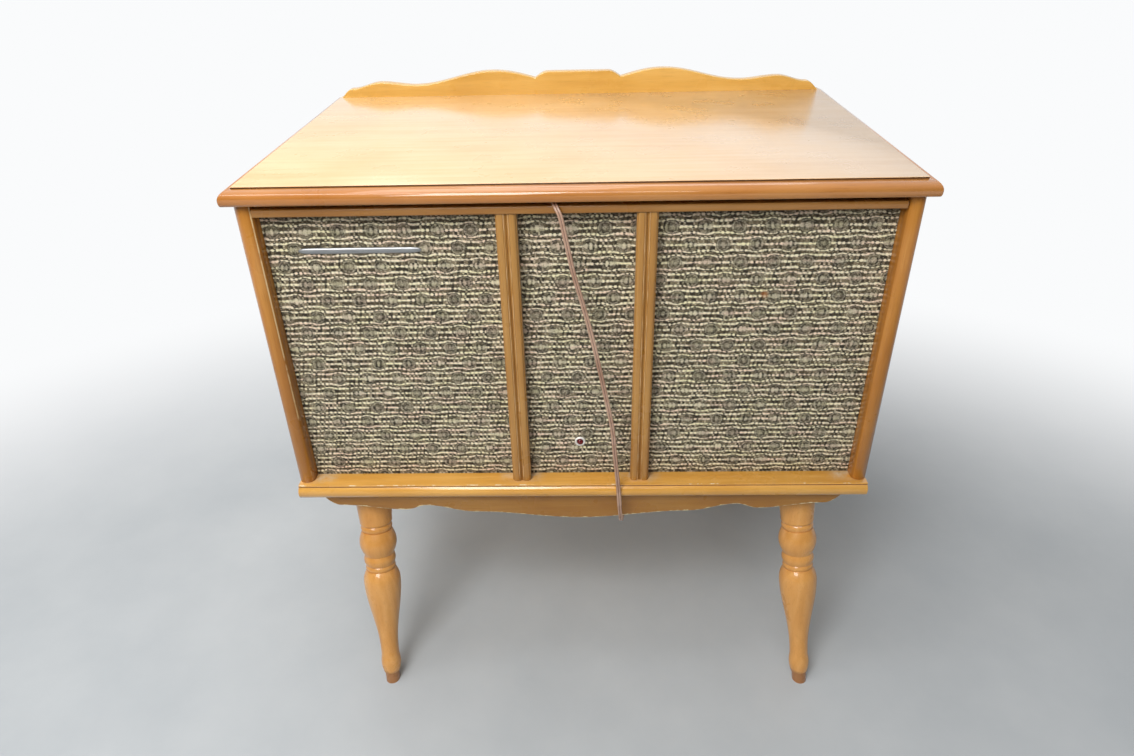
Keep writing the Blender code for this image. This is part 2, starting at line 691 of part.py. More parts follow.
def build_leg_plate(name, under, seat, down, steel):
    """A square plate with a sloped round pad, drilled along the leg's axis for the stud."""
    top = LEG_HEIGHT - FIT
    half = LEG_PLATE_SIDE / 2
    plate = block(
        name,
        (under.x - half, under.y - half, top - LEG_PLATE_THICKNESS),
        (under.x + half, under.y + half, top),
        steel,
    )
    pad = turned(
        name + "_pad",
        [(0.0, top - 0.001), (LEG_RADIUS, top - 0.001), (LEG_RADIUS, seat.z - 0.02), (0.0, seat.z - 0.02)],
        20,
        steel,
        at(seat.x, seat.y, 0.0),
    )
    bm = bmesh.new()
    bm.from_mesh(pad.data)
    face = seat - down * FIT - pad.location
    everything = bm.verts[:] + bm.edges[:] + bm.faces[:]
    bmesh.ops.bisect_plane(bm, geom=everything, plane_co=face, plane_no=down, clear_outer=True)
    bmesh.ops.holes_fill(bm, edges=[e for e in bm.edges if e.is_boundary])
    bm.to_mesh(pad.data)
    bm.free()
    drill = drum(
        name + "_drill",
        seat + down * 0.004,
        seat - down * (LEG_STUD_LENGTH + LEG_STUD_CLEARANCE),
        LEG_STUD_RADIUS + LEG_STUD_CLEARANCE,
        steel,
    )
    join(plate, pad)
    cut(plate, drill)


def build_back(wood, hardboard, ply):
    """Back rail, vented back panel and motor board."""
    block(
        "back_rail",
        (-INNER_X + FIT, REAR - BACK_RAIL_THICKNESS, LID_UNDERSIDE - BACK_RAIL_HEIGHT),
        (INNER_X - FIT, REAR, LID_UNDERSIDE - FIT),
        wood,
    )
    panel = block(
        "back_panel",
        (-INNER_X + FIT, BACK_PANEL_FRONT, BASE_TOP + FIT),
        (INNER_X - FIT, BACK_PANEL_REAR, LID_UNDERSIDE - BACK_RAIL_HEIGHT - FIT),
        hardboard,
    )
    vents = []
    for side in (-1, 1):
        for k in range(VENTS_PER_SIDE):
            x = side * (INNER_X - VENT_INSET - k * VENT_PITCH)
            low = (x - VENT_WIDTH / 2, BACK_PANEL_FRONT - 0.01, BOARD_BOTTOM - 0.040 - VENT_HEIGHT)
            high = (x + VENT_WIDTH / 2, BACK_PANEL_REAR + 0.01, BOARD_BOTTOM - 0.040)
            vents.append(block("vent", low, high, hardboard))
    outlet = drum(
        "relief_hole",
        (CORD_EXIT_X, BACK_PANEL_FRONT - 0.01, CORD_EXIT_Z),
        (CORD_EXIT_X, BACK_PANEL_REAR + 0.01, CORD_EXIT_Z),
        RELIEF_NECK + FIT,
        hardboard,
    )
    cut(panel, outlet, *vents)
    board = block(
        "motor_board",
        (-INNER_X - BOARD_GROOVE + FIT, BAFFLE_REAR + FIT, BOARD_BOTTOM),
        (INNER_X + BOARD_GROOVE - FIT, BACK_PANEL_FRONT - FIT, BOARD_TOP),
        ply,
    )
    half = (MOTOR_SIZE[0] / 2 + MOTOR_CLEARANCE, MOTOR_SIZE[1] / 2 + MOTOR_CLEARANCE)
    pocket = block(
        "motor_pocket",
        (PULLEY_X - half[0], PULLEY_Y - half[1], BOARD_BOTTOM - 0.01),
        (PULLEY_X + half[0], PULLEY_Y + half[1], BOARD_TOP + 0.01),
        ply,
    )
    cut(board, pocket, *shaft_drills("board_drill", BOARD_BOTTOM, BOARD_TOP, ply))


def shaft_drills(name, low, high, coat):
    """Round cutters where the control shafts pass."""
    radius = SHAFT_RADIUS + SHAFT_CLEARANCE
    spans = [((x, KNOB_Y, low - 0.01), (x, KNOB_Y, high + 0.01)) for x in KNOB_XS]
    return [drum(name, start, end, radius, coat, 12) for start, end in spans]


def barrel(name, x0, x1, coat):
    """One hinge knuckle: a tube along X on the hinge axis."""
    half = (x1 - x0) / 2
    profile = [(BARREL_RADIUS, half), (BARREL_RADIUS, -half), (BARREL_BORE, -half), (BARREL_BORE, half)]
    place = (x0 + half, HINGE_AXIS.y, HINGE_AXIS.z)
    return turned(name, profile, 16, coat, facing((1, 0, 0), place), ring=True)


def build_hinges(brass):
    """Two butt hinges: the case leaf holds the outer knuckles, the lid leaf the middle one."""
    lid_leaves = []
    third = HINGE_WIDTH / 4
    clear = BARREL_RADIUS + KNUCKLE_GAP
    leaf_low = REAR + FIT
    leaf_high = leaf_low + LEAF_THICKNESS
    for side_name, side in (("left", -1), ("right", 1)):
        middle = side * HINGE_X
        left = middle - HINGE_WIDTH / 2
        right = middle + HINGE_WIDTH / 2
        inner_left = left + third
        inner_right = right - third
        axis = HINGE_AXIS.z
        lid_outline = [
            (left, axis + clear),
            (inner_left + KNUCKLE_GAP, axis + clear),
            (inner_left + KNUCKLE_GAP, axis),
            (inner_right - KNUCKLE_GAP, axis),
            (inner_right - KNUCKLE_GAP, axis + clear),
            (right, axis + clear),
            (right, axis + LEAF_HEIGHT),
            (left, axis + LEAF_HEIGHT),
        ]
        leaf = slab(f"hinge_lid_leaf_{side_name}", lid_outline, "Y", leaf_low, leaf_high, brass)
        join(leaf, barrel("lid_knuckle", inner_left + KNUCKLE_GAP, inner_right - KNUCKLE_GAP, brass))
        lid_leaves.append(leaf)
        case_outline = [
            (left, axis),
            (inner_left, axis),
            (inner_left, axis - clear),
            (inner_right, axis - clear),
            (inner_right, axis),
            (right, axis),
            (right, axis - LEAF_HEIGHT - clear),
            (left, axis - LEAF_HEIGHT - clear),
        ]
        leaf = slab(f"hinge_case_leaf_{side_name}", case_outline, "Y", leaf_low, leaf_high, brass)
        ends = ((left, inner_left), (inner_right, right))
        join(leaf, *[barrel("case_knuckle", x0, x1, brass) for x0, x1 in ends])
        half = HINGE_WIDTH / 2 + FIT
        head = BARREL_RADIUS * 0.8
        pin = [
            (0.0, half + 0.001),
            (head, half + 0.001),
            (head, half),
            (PIN_RADIUS, half),
            (PIN_RADIUS, -half),
            (head, -half),
            (head, -half - 0.001),
            (0.0, -half - 0.001),
        ]
        turned(f"hinge_pin_{side_name}", pin, 12, brass, facing((1, 0, 0), (middle, HINGE_AXIS.y, axis)))
    return lid_leaves


def build_stay(brass):
    """Slotted quadrant stay on the lid, centred on the hinge axis, and the stud it slides on."""
    inner = STAY_RADIUS - STAY_WIDTH / 2
    outer = STAY_RADIUS + STAY_WIDTH / 2
    slot_start = STAY_STUD_ANGLE - math.radians(1.5)
    slot_end = STAY_STUD_ANGLE + LID_OPEN + math.radians(1.5)
    arc_end = slot_end + STAY_END_MARGIN

    def on_arc(radius, angle):
        return (HINGE_AXIS.y - radius * math.cos(angle), HINGE_AXIS.z - radius * math.sin(angle))

    def band(low, high, start, end, count):
        angles = np.linspace(start, end, count)
        return [on_arc(high, t) for t in angles] + [on_arc(low, t) for t in angles[::-1]]

    x_outer = INNER_X - STAY_STAND_OFF
    x_inner = x_outer - STAY_THICKNESS
    stay = slab("lid_stay", band(inner, outer, math.radians(1), arc_end, 20), "X", x_inner, x_outer, brass)
    half_slot = STAY_SLOT / 2
    slot = slab(
        "stay_slot",
        band(STAY_RADIUS - half_slot, STAY_RADIUS + half_slot, slot_start, slot_end, 20),
        "X",
        x_inner - 0.01,
        x_outer + 0.01,
        brass,
    )
    foot_top = LID_UNDERSIDE - FIT
    foot = block(
        "stay_foot",
        (x_inner - STAY_FOOT_WIDTH, HINGE_AXIS.y - outer - STAY_FOOT_MARGIN, foot_top - STAY_FOOT_THICKNESS),
        (x_outer, HINGE_AXIS.y - inner + STAY_FOOT_MARGIN, foot_top),
        brass,
    )
    join(stay, foot)
    cut(stay, slot)
    y, z = on_arc(STAY_RADIUS, STAY_STUD_ANGLE)
    nut = x_inner - FIT
    nut_radius, nut_height = STAY_NUT
    stud = [  # radius, X place
        (0.0, nut - nut_height),
        (nut_radius, nut - nut_height),
        (nut_radius, nut),
        (STAY_STUD_RADIUS, nut),
        (STAY_STUD_RADIUS, x_outer + FIT),
        (STAY_WASHER_RADIUS, x_outer + FIT),
        (STAY_WASHER_RADIUS, INNER_X - FIT),
        (0.0, INNER_X - FIT),
    ]
    turned("stay_stud", stud[::-1], 16, brass, facing((1, 0, 0), (0, y, z)))
    return [stay]


def build_speakers(paper):
    """Two loudspeakers on the back of the baffle: flange, cone hollow, basket and magnet."""
    inset, roll_depth = SPEAKER_ROLL
    magnet, rear = SPEAKER_MAGNET
    for name, side in (("speaker_left", -1), ("speaker_right", 1)):
        profile = [(radius, -depth) for radius, depth in SPEAKER_CAP]
        profile += [
            (SPEAKER_RADIUS - inset, -roll_depth),
            (SPEAKER_RADIUS - SPEAKER_LIP, 0.0),
            (SPEAKER_RADIUS, 0.0),
            (SPEAKER_RADIUS, -SPEAKER_FLANGE),
            (SPEAKER_RADIUS - SPEAKER_BASKET_STEP, -SPEAKER_FLANGE),
        ]
        profile += [(radius, -depth) for radius, depth in SPEAKER_BASKET]
        profile += [(magnet, -rear), (0.0, -rear)]
        place = (side * SPEAKER_X, BAFFLE_REAR + FIT, BASE_TOP + SPEAKER_RISE)
        turned(name, profile, 24, paper, facing((0, -1, 0), place))


def build_pilot(nickel, ruby):
    """Pilot lamp: a ring on the cloth, a barrel through the baffle to its socket, and a domed jewel."""
    face = CLOTH_FRONT - FIT
    wall = PILOT_JEWEL_RADIUS + PILOT_WALL
    socket = BAFFLE_REAR + FIT
    profile = [
        (PILOT_JEWEL_RADIUS, face - 0.0012),
        (PILOT_RING_RADIUS - 0.0006, face - 0.0018),
        (PILOT_RING_RADIUS, face - 0.0006),
        (PILOT_RING_RADIUS, face),
        (wall, face),
        (wall, socket),
        (wall + 0.002, socket),
        (wall + 0.002, socket + 0.018),
        (0.0, socket + 0.018),
        (0.0, socket + 0.012),
        (PILOT_JEWEL_RADIUS, socket + 0.012),
    ]
    ring = [(r, -y) for r, y in profile]
    turned_open("pilot_bezel", ring, 20, nickel, facing((0, -1, 0), (0, 0, PILOT_Z)))
    radius = PILOT_JEWEL_RADIUS - FIT
    sweep = np.linspace(0, math.pi / 2, 5)
    dome = [(radius * math.sin(t), -face + 0.0012 + 0.0026 * math.cos(t)) for t in sweep]
    jewel = dome + [(radius, -(BAFFLE_FRONT + 0.002)), (0.0, -(BAFFLE_FRONT + 0.002))]
    turned("pilot_jewel", jewel, 16, ruby, facing((0, -1, 0), (0, 0, PILOT_Z)))


def turned_open(name, profile, steps, coat, frame):
    """A turned cup whose section closes on itself but touches the axis along its bottom."""
    first_axis = next(i for i, (r, _) in enumerate(profile) if r < 1e-7)
    outside = profile[: first_axis + 1]
    inside = profile[first_axis + 1 :]
    bottom = inside[0]
    rest = inside[1:] + [outside[0]]
    return turned(name, [bottom] + rest + outside[1:], steps, coat, frame)


def build_changer(paint, alloy, rubber, chrome, dark):
    """Record changer on the motor board. Its moving pieces have their origins on their axes."""
    low = (*DECK_LOW, DECK_BOTTOM)
    high = (*DECK_HIGH, DECK_TOP)
    outline = rounded_rectangle(DECK_LOW, DECK_HIGH, DECK_CORNER, 4)
    deck = slab("changer_deck", outline, "Z", low[2], high[2], paint)
    hollow_low = [v + DECK_SHEET for v in DECK_LOW]
    hollow_high = [v - DECK_SHEET for v in DECK_HIGH]
    hollow = slab(
        "deck_hollow",
        rounded_rectangle(hollow_low, hollow_high, DECK_CORNER - DECK_SHEET, 4),
        "Z",
        low[2] - 0.01,
        high[2] - DECK_SHEET,
        paint,
    )
    shaft = drum(
        "motor_shaft_hole",
        (PULLEY_X, PULLEY_Y, low[2]),
        (PULLEY_X, PULLEY_Y, high[2] + 0.01),
        PULLEY_RADIUS + 0.002,
        paint,
        16,
    )
    cut(deck, hollow, shaft)
    build_drive(alloy, rubber, chrome, dark)
    build_arm(chrome, dark)
    build_overarm(chrome)
    lever = [
        (0.0, 0.012),
        (0.0065, 0.012),
        (0.0085, 0.010),
        (0.0095, FIT),
        (0.0, FIT),
    ]
    knob = turned("speed_lever", lever, 16, dark, at(*SPEED_LEVER, DECK_TOP))
    pointer = block(
        "speed_pointer",
        (SPEED_LEVER[0] - 0.003, SPEED_LEVER[1] - 0.022, DECK_TOP + 0.002),
        (SPEED_LEVER[0] + 0.003, SPEED_LEVER[1], DECK_TOP + 0.007),
        dark,
    )
    join(knob, pointer)


def rounded_rectangle(low, high, radius, steps):
    """A rectangle's outline with quarter-circle corners."""
    points = []
    for cx, cy, start in (
        (high[0] - radius, high[1] - radius, 0.0),
        (low[0] + radius, high[1] - radius, 0.5),
        (low[0] + radius, low[1] + radius, 1.0),
        (high[0] - radius, low[1] + radius, 1.5),
    ):
        for k in range(steps + 1):
            t = math.pi * (start + 0.5 * k / steps)
            points.append((cx + radius * math.cos(t), cy + radius * math.sin(t)))
    return points


def build_drive(alloy, rubber, chrome, dark):
    """Platter, mat, spindle, idler wheel, motor pulley and motor."""
    hub = SPINDLE_RADIUS + SPINDLE_CLEARANCE
    top = PLATTER_TOP
    rim_bottom = DECK_TOP + PLATTER_LIFT
    under = top - PLATTER_SHEET
    washer_width, washer = SPINDLE_WASHER
    hub_bottom = DECK_TOP + washer + FIT
    platter = [
        (hub, top),
        (PLATTER_RADIUS - 0.002, top),
        (PLATTER_RADIUS, top - 0.002),
        (PLATTER_RADIUS, rim_bottom),
        (RIM_INNER, rim_bottom),
        (RIM_INNER, under),
        (hub + 0.010, under),
        (hub + 0.010, hub_bottom),
        (hub, hub_bottom),
    ]
    turned("platter", platter, 56, alloy, at(PLATTER_X, PLATTER_Y, 0.0), ring=True)
    mat_radius = PLATTER_RADIUS - MAT_INSET
    width, depth = MAT_GROOVE
    groove = MAT_TOP - depth
    ribs = []
    for k in range(MAT_RIBS):
        outer = mat_radius - MAT_BORDER - k * MAT_RIB_PITCH
        inner = outer - width
        ribs += [(outer, MAT_TOP), (outer - MAT_GROOVE_SLOPE, groove)]
        ribs += [(inner + MAT_GROOVE_SLOPE, groove), (inner, MAT_TOP)]
    mat = [(mat_radius, PLATTER_TOP + FIT), (mat_radius, MAT_TOP)] + ribs
    mat += [(hub, MAT_TOP), (hub, PLATTER_TOP + FIT)]
    turned("platter_mat", mat[::-1], 32, rubber, at(PLATTER_X, PLATTER_Y, 0.0), ring=True)
    tip = SPINDLE_HEIGHT
    ledge = tip * 0.75
    spindle = [
        (0.0, tip),
        (SPINDLE_RADIUS * 0.5, tip - 0.001),
        (SPINDLE_RADIUS * 0.8, tip - 0.006),
        (SPINDLE_RADIUS * 0.8, ledge),
        (SPINDLE_RADIUS, ledge - 0.002),
        (SPINDLE_RADIUS, washer),
        (hub + washer_width, washer),
        (hub + washer_width, FIT),
        (0.0, FIT),
    ]
    turned("spindle", spindle, 16, chrome, at(PLATTER_X, PLATTER_Y, DECK_TOP))
    wheel = [
        (0.0, 0.0165),
        (0.0025, 0.0165),
        (0.0025, 0.014),
        (0.007, 0.014),
        (0.007, 0.0125),
        (IDLER_RADIUS, 0.0125),
        (IDLER_RADIUS, 0.0085),
        (0.007, 0.0085),
        (0.007, 0.007),
        (0.0025, 0.007),
        (0.0025, FIT),
        (0.0, FIT),
    ]
    turned("idler_wheel", wheel, 24, rubber, at(IDLER_X, IDLER_Y, DECK_TOP))
    motor_top = DECK_TOP - DECK_SHEET - FIT
    shaft_bottom = motor_top - DECK_TOP + FIT
    pulley = [
        (0.0, 0.0160),
        (PULLEY_RADIUS, 0.0160),
        (PULLEY_RADIUS, 0.0060),
        (0.0015, 0.0060),
        (0.0015, shaft_bottom),
        (0.0, shaft_bottom),
    ]
    turned("motor_pulley", pulley, 16, chrome, at(PULLEY_X, PULLEY_Y, DECK_TOP))
    block(
        "changer_motor",
        (PULLEY_X - MOTOR_SIZE[0] / 2, PULLEY_Y - MOTOR_SIZE[1] / 2, motor_top - MOTOR_SIZE[2]),
        (PULLEY_X + MOTOR_SIZE[0] / 2, PULLEY_Y + MOTOR_SIZE[1] / 2, motor_top),
        dark,
    )


def build_arm(chrome, dark):
    """Tone arm on a forked swivel post, resting on a flat-topped arm rest."""
    height = ARM_PIVOT_HEIGHT
    fork_top = height + 0.0055
    post = [
        (0.0, fork_top),
        (0.0095, fork_top),
        (0.0095, 0.012),
        (0.016, 0.008),
        (0.016, FIT),
        (0.0, FIT),
    ]
    swivel = turned("arm_swivel", post, 20, chrome, at(ARM_X, ARM_Y, DECK_TOP))
    gap = ARM_WIDTH / 2 + ARM_CLEARANCE
    slot = block(
        "fork_slot",
        (ARM_X - gap, ARM_Y - 0.03, ARM_PIVOT.z - ARM_DEPTH / 2 - 0.0045),
        (ARM_X + gap, ARM_Y + 0.03, ARM_PIVOT.z + 0.03),
        chrome,
    )
    bore = drum(
        "fork_bore",
        ARM_PIVOT - Vector((0.03, 0, 0)),
        ARM_PIVOT + Vector((0.03, 0, 0)),
        ARM_PIN_RADIUS + ARM_CLEARANCE,
        chrome,
        16,
    )
    cut(swivel, slot, bore)
    half = ARM_WIDTH / 2
    head = ARM_HEAD_WIDTH / 2
    neck = -ARM_LENGTH + ARM_HEAD_LENGTH
    outline = [
        (half, ARM_TAIL),
        (half, 0.0),
        (half * 0.72, neck),
        (head, neck - 0.010),
        (head * 0.85, -ARM_LENGTH - 0.006),
    ]
    outline = [(ARM_X + x, ARM_Y + y) for x, y in mirrored_pairs(outline)]
    arm = slab("tonearm", outline, "Z", ARM_PIVOT.z - ARM_DEPTH / 2, ARM_PIVOT.z + ARM_DEPTH / 2, dark)
    arm.data.transform(Matrix.Translation(-ARM_PIVOT))
    arm.location = ARM_PIVOT
    pin = drum(
        "arm_pin",
        ARM_PIVOT - Vector((half + 0.0042, 0, 0)),
        ARM_PIVOT + Vector((half + 0.0042, 0, 0)),
        ARM_PIN_RADIUS,
        dark,
        16,
    )
    stylus_y = ARM_Y - ARM_LENGTH
    under = ARM_PIVOT.z - ARM_DEPTH / 2
    cartridge = block(
        "cartridge",
        (ARM_X - 0.006, stylus_y - 0.003, MAT_TOP + 0.0045),
        (ARM_X + 0.006, stylus_y + 0.018, under + 0.002),
        dark,
    )
    stylus = turned(
        "stylus",
        [(0.0, 0.003), (0.0012, 0.003), (0.0003, 0.0), (0.0, 0.0)],
        8,
        dark,
        at(ARM_X, stylus_y, MAT_TOP + 0.0022),
    )
    join(arm, pin, cartridge, stylus)
    rest_top = ARM_PIVOT_HEIGHT - ARM_DEPTH / 2 - FIT
    rest = [
        (0.0, rest_top),
        (0.0055, rest_top),
        (0.0055, rest_top - 0.004),
        (0.0035, rest_top - 0.008),
        (0.0035, 0.004),
        (0.008, 0.002),
        (0.008, FIT),
        (0.0, FIT),
    ]
    turned("arm_rest", rest, 16, dark, at(ARM_X, ARM_REST_Y, DECK_TOP))


def mirrored_pairs(half):
    """An outline from its right-hand points, mirrored to the left and closed."""
    return half + [(-x, y) for x, y in reversed(half)]


def build_overarm(chrome):
    """Overarm post and its bar, which reaches over the spindle and swings aside about the post."""
    post = [
        (0.0, OVERARM_HEIGHT + 0.006),
        (OVERARM_RADIUS, OVERARM_HEIGHT + 0.006),
        (OVERARM_RADIUS, 0.003),
        (0.009, 0.003),
        (0.009, FIT),
        (0.0, FIT),
    ]
    arm = turned("record_overarm", post, 14, chrome, at(OVERARM_X, OVERARM_Y, DECK_TOP))
    start = Vector((OVERARM_X, OVERARM_Y, 0.0))
    end = Vector((PLATTER_X, PLATTER_Y, 0.0))
    along = (end - start).normalized()
    across = Vector((-along.y, along.x, 0.0)) * 0.0035
    outline = [start + across, end + across, end + along * 0.006, end - across, start - across]
    bar = slab(
        "overarm_bar",
        [(p.x, p.y) for p in outline],
        "Z",
        DECK_TOP + OVERARM_HEIGHT,
        DECK_TOP + OVERARM_HEIGHT + 0.005,
        chrome,
    )
    join(arm, bar)


def build_controls(brass, dark, steel, iron):
    """Control panel, three knobs on shafts, the amplifier chassis and its power transformer."""
    low = BOARD_TOP + FIT
    panel = block(
        "control_panel", (*PANEL_LOW, low), (*PANEL_HIGH, low + PANEL_THICKNESS), brass
    )
    cut(panel, *shaft_drills("panel_drill", low, low + PANEL_THICKNESS, brass))
    seat = low + PANEL_THICKNESS + FIT
    for name, x in zip(("knob_volume", "knob_balance", "knob_tone"), KNOB_XS):
        shaft_end = BOARD_BOTTOM - SHAFT_REACH - seat
        profile = [
            (0.0, KNOB_HEIGHT),
            (KNOB_RADIUS * 0.80, KNOB_HEIGHT),
            (KNOB_RADIUS * 0.86, KNOB_HEIGHT - 0.0015),
            (KNOB_RADIUS * 0.92, 0.005),
            (KNOB_RADIUS, 0.003),
            (KNOB_RADIUS, 0.0),
            (SHAFT_RADIUS, 0.0),
            (SHAFT_RADIUS, shaft_end),
            (0.0, shaft_end),
        ]
        turned(name, profile, 24, dark, at(x, KNOB_Y, seat))
    top = BOARD_BOTTOM - FIT
    outer_low = (PANEL_LOW[0] - CHASSIS_MARGIN, PANEL_LOW[1] - CHASSIS_MARGIN, top - CHASSIS_HEIGHT)
    outer_high = (PANEL_HIGH[0] + CHASSIS_MARGIN, PANEL_HIGH[1] + CHASSIS_MARGIN, top)
    chassis = block("amplifier_chassis", outer_low, outer_high, steel)
    hollow = block(
        "chassis_hollow",
        (outer_low[0] + CHASSIS_SHEET, outer_low[1] + CHASSIS_SHEET, outer_low[2] - 0.01),
        (outer_high[0] - CHASSIS_SHEET, outer_high[1] - CHASSIS_SHEET, top - CHASSIS_SHEET),
        steel,
    )
    cut(chassis, hollow, *shaft_drills("chassis_drill", top - CHASSIS_SHEET, top, steel))
    x, y = TRANSFORMER_AT
    width, depth, height = TRANSFORMER_SIZE
    core = block(
        "power_transformer",
        (x - width / 2, y - depth / 3, BASE_TOP + FIT),
        (x + width / 2, y + depth / 3, BASE_TOP + FIT + height),
        iron,
    )
    bobbin = block(
        "transformer_bobbin",
        (x - width / 4, y - depth / 2, BASE_TOP + height * 0.2),
        (x + width / 4, y + depth / 2, BASE_TOP + height * 0.8),
        iron,
    )
    join(core, bobbin)


# Cord route from the strain relief down the back, under the case, up the front, in over the top rail and
# down to the motor board. The points were chosen by hand, so that it hangs and bends as limp flex does.
CORD_ROUTE = (
    (0.1000, 0.2640, 0.3765),
    (0.1000, 0.2745, 0.3715),
    (0.0998, 0.2800, 0.3610),
    (0.0995, 0.2795, 0.3480),
    (0.0985, 0.2720, 0.3200),
    (0.0965, 0.2560, 0.2900),
    (0.0940, 0.2350, 0.2690),
    (0.0900, 0.1950, 0.2460),
    (0.0850, 0.1400, 0.2300),
    (0.0785, 0.0750, 0.2215),
    (0.0720, 0.0050, 0.2205),
    (0.0660, -0.0650, 0.2270),
    (0.0612, -0.1300, 0.2410),
    (0.0580, -0.1780, 0.2570),
    (0.0560, -0.2060, 0.2690),
    (0.0545, -0.2210, 0.2735),
    (0.0532, -0.2310, 0.2790),
    (0.0520, -0.2372, 0.2890),
    (0.0505, -0.2410, 0.3060),
    (0.0480, -0.2420, 0.3420),
    (0.0430, -0.2412, 0.3950),
    (0.0388, -0.2408, 0.4380),
    (0.0235, -0.2400, 0.5190),
    (0.0140, -0.2398, 0.5640),
    (0.0050, -0.2395, 0.6010),
    (-0.0040, -0.2390, 0.6350),
    (-0.0110, -0.2380, 0.6700),
    (-0.0165, -0.2366, 0.6975),
    (-0.0200, -0.2340, 0.7060),
    (-0.0232, -0.2285, 0.7108),
    (-0.0252, -0.2200, 0.7118),
    (-0.0255, -0.1970, 0.7114),
    (-0.0255, -0.1895, 0.7065),
    (-0.0255, -0.1858, 0.6965),
    (-0.0255, -0.1855, 0.6300),
    (-0.0255, -0.1855, 0.5830),
    (-0.0255, -0.1822, 0.5730),
    (-0.0255, -0.1745, 0.5680),
)


def smooth_route(points, steps):
    """A Catmull-Rom curve through the points, with so many steps from each to the next."""
    fixed = np.array(points)
    padded = np.vstack([2 * fixed[0] - fixed[1], fixed, 2 * fixed[-1] - fixed[-2]])
    path = []
    for p0, p1, p2, p3 in zip(padded, padded[1:], padded[2:], padded[3:]):
        for k in range(steps):
            t = k / steps
            bend = (2 * p0 - 5 * p1 + 4 * p2 - p3) * t**2 + (3 * p1 - p0 - 3 * p2 + p3) * t**3
            path.append(p1 + ((p2 - p0) * t + bend) / 2)
    return np.array([*path, fixed[-1]])


def coil_path():
    """The stored coil: a neat round stack, each turn lying on the one below, with straight ends."""
    count = round(COIL_TURNS * COIL_POINTS_PER_TURN)
    points = []
    for k in range(count + 1):
        angle = 2 * math.pi * k / COIL_POINTS_PER_TURN
        outward = np.array((-math.cos(angle), math.sin(angle), 0.0))
        rise = COIL_RISE * k / COIL_POINTS_PER_TURN
        points.append(np.array((*COIL_CENTRE, CORD_REST + rise)) + COIL_RADIUS * outward)
    onward = np.array((math.sin(angle), math.cos(angle), 0.0))
    first = points[0] - np.array((0.0, CORD_WIDTH, 0.0))
    return np.array([first, *points, points[-1] + COIL_TAIL * onward])


def print_self_gap(path):
    """Prints the least clear gap between stretches of the coil that lie a third of a turn apart or more."""
    apart = COIL_POINTS_PER_TURN // 3
    least = math.inf
    for i in range(len(path)):
        for j in range(i + apart, len(path)):
            level = np.linalg.norm(path[i, :2] - path[j, :2]) - CORD_WIDTH
            rise = abs(path[i, 2] - path[j, 2]) - CORD_THICKNESS
            least = min(least, math.hypot(max(level, 0.0), max(rise, 0.0)))
    print(f"cord_coil: least gap to itself {least * 1000:.2f} mm")


def flat_flex(name, path, broad, coat):
    """Flat twin flex lofted along a path. Its broad side keeps as near to a direction as the path lets it.

    The direction is one vector, or one for each point.
    """
    along = np.gradient(path, axis=0)
    along /= np.linalg.norm(along, axis=1, keepdims=True)
    across = np.broadcast_to(broad, path.shape)
    across = across - along * np.sum(across * along, axis=1, keepdims=True)
    across /= np.linalg.norm(across, axis=1, keepdims=True)
    upright = np.cross(along, across)
    round_end = CORD_THICKNESS / 2
    flat = CORD_WIDTH / 2 - round_end
    section = []
    for k in range(2 * FLEX_END_STEPS):
        angle = math.pi * (k // FLEX_END_STEPS + (k % FLEX_END_STEPS) / (FLEX_END_STEPS - 1) - 0.5)
        side = 1 if k < FLEX_END_STEPS else -1
        section.append((side * flat + round_end * math.cos(angle), round_end * math.sin(angle)))
    bm = bmesh.new()
    loft(bm, [[p + a * u + b * v for u, v in section] for p, a, b in zip(path, across, upright)])
    return shade_round(add_object(name, bm, coat))


def path_length(path):
    return float(np.linalg.norm(np.diff(path, axis=0), axis=1).sum())


def build_cord(vinyl, dark, brass):
    """Strain relief, free flex, stored coil and plug."""
    neck = BACK_PANEL_REAR + FIT
    relief = [  # radius, distance behind the back panel's rear face
        (0.0, -BACK_PANEL_THICKNESS - FIT),
        (RELIEF_NECK, -BACK_PANEL_THICKNESS - FIT),
        (RELIEF_NECK, 0.0),
        (RELIEF_FLANGE, 0.0),
        (RELIEF_FLANGE, 0.002),
        (RELIEF_NECK + 0.001, 0.0035),
        (RELIEF_TIP, 0.002 + RELIEF_LENGTH),
        (0.0, 0.002 + RELIEF_LENGTH),
    ]
    turned("strain_relief", relief[::-1], 16, dark, facing((0, 1, 0), (CORD_EXIT_X, neck, CORD_EXIT_Z)))
    stored = coil_path()
    print_self_gap(stored)
    exit_face = (CORD_EXIT_X, RELIEF_END + FIT, CORD_EXIT_Z)
    meet = stored[0] - (0.0, FIT, 0.0)
    free = smooth_route([exit_face, *CORD_ROUTE, meet], FLEX_ROUTE_STEPS)
    flat_flex("power_cord", free, (1.0, 0.0, 0.0), vinyl)
    flat_flex("cord_coil", stored, (stored - (*COIL_CENTRE, 0.0)) * (1, 1, 0), vinyl)
    print(f"cord length {path_length(free) + path_length(stored):.3f} m")
    build_plug(stored, dark, brass)


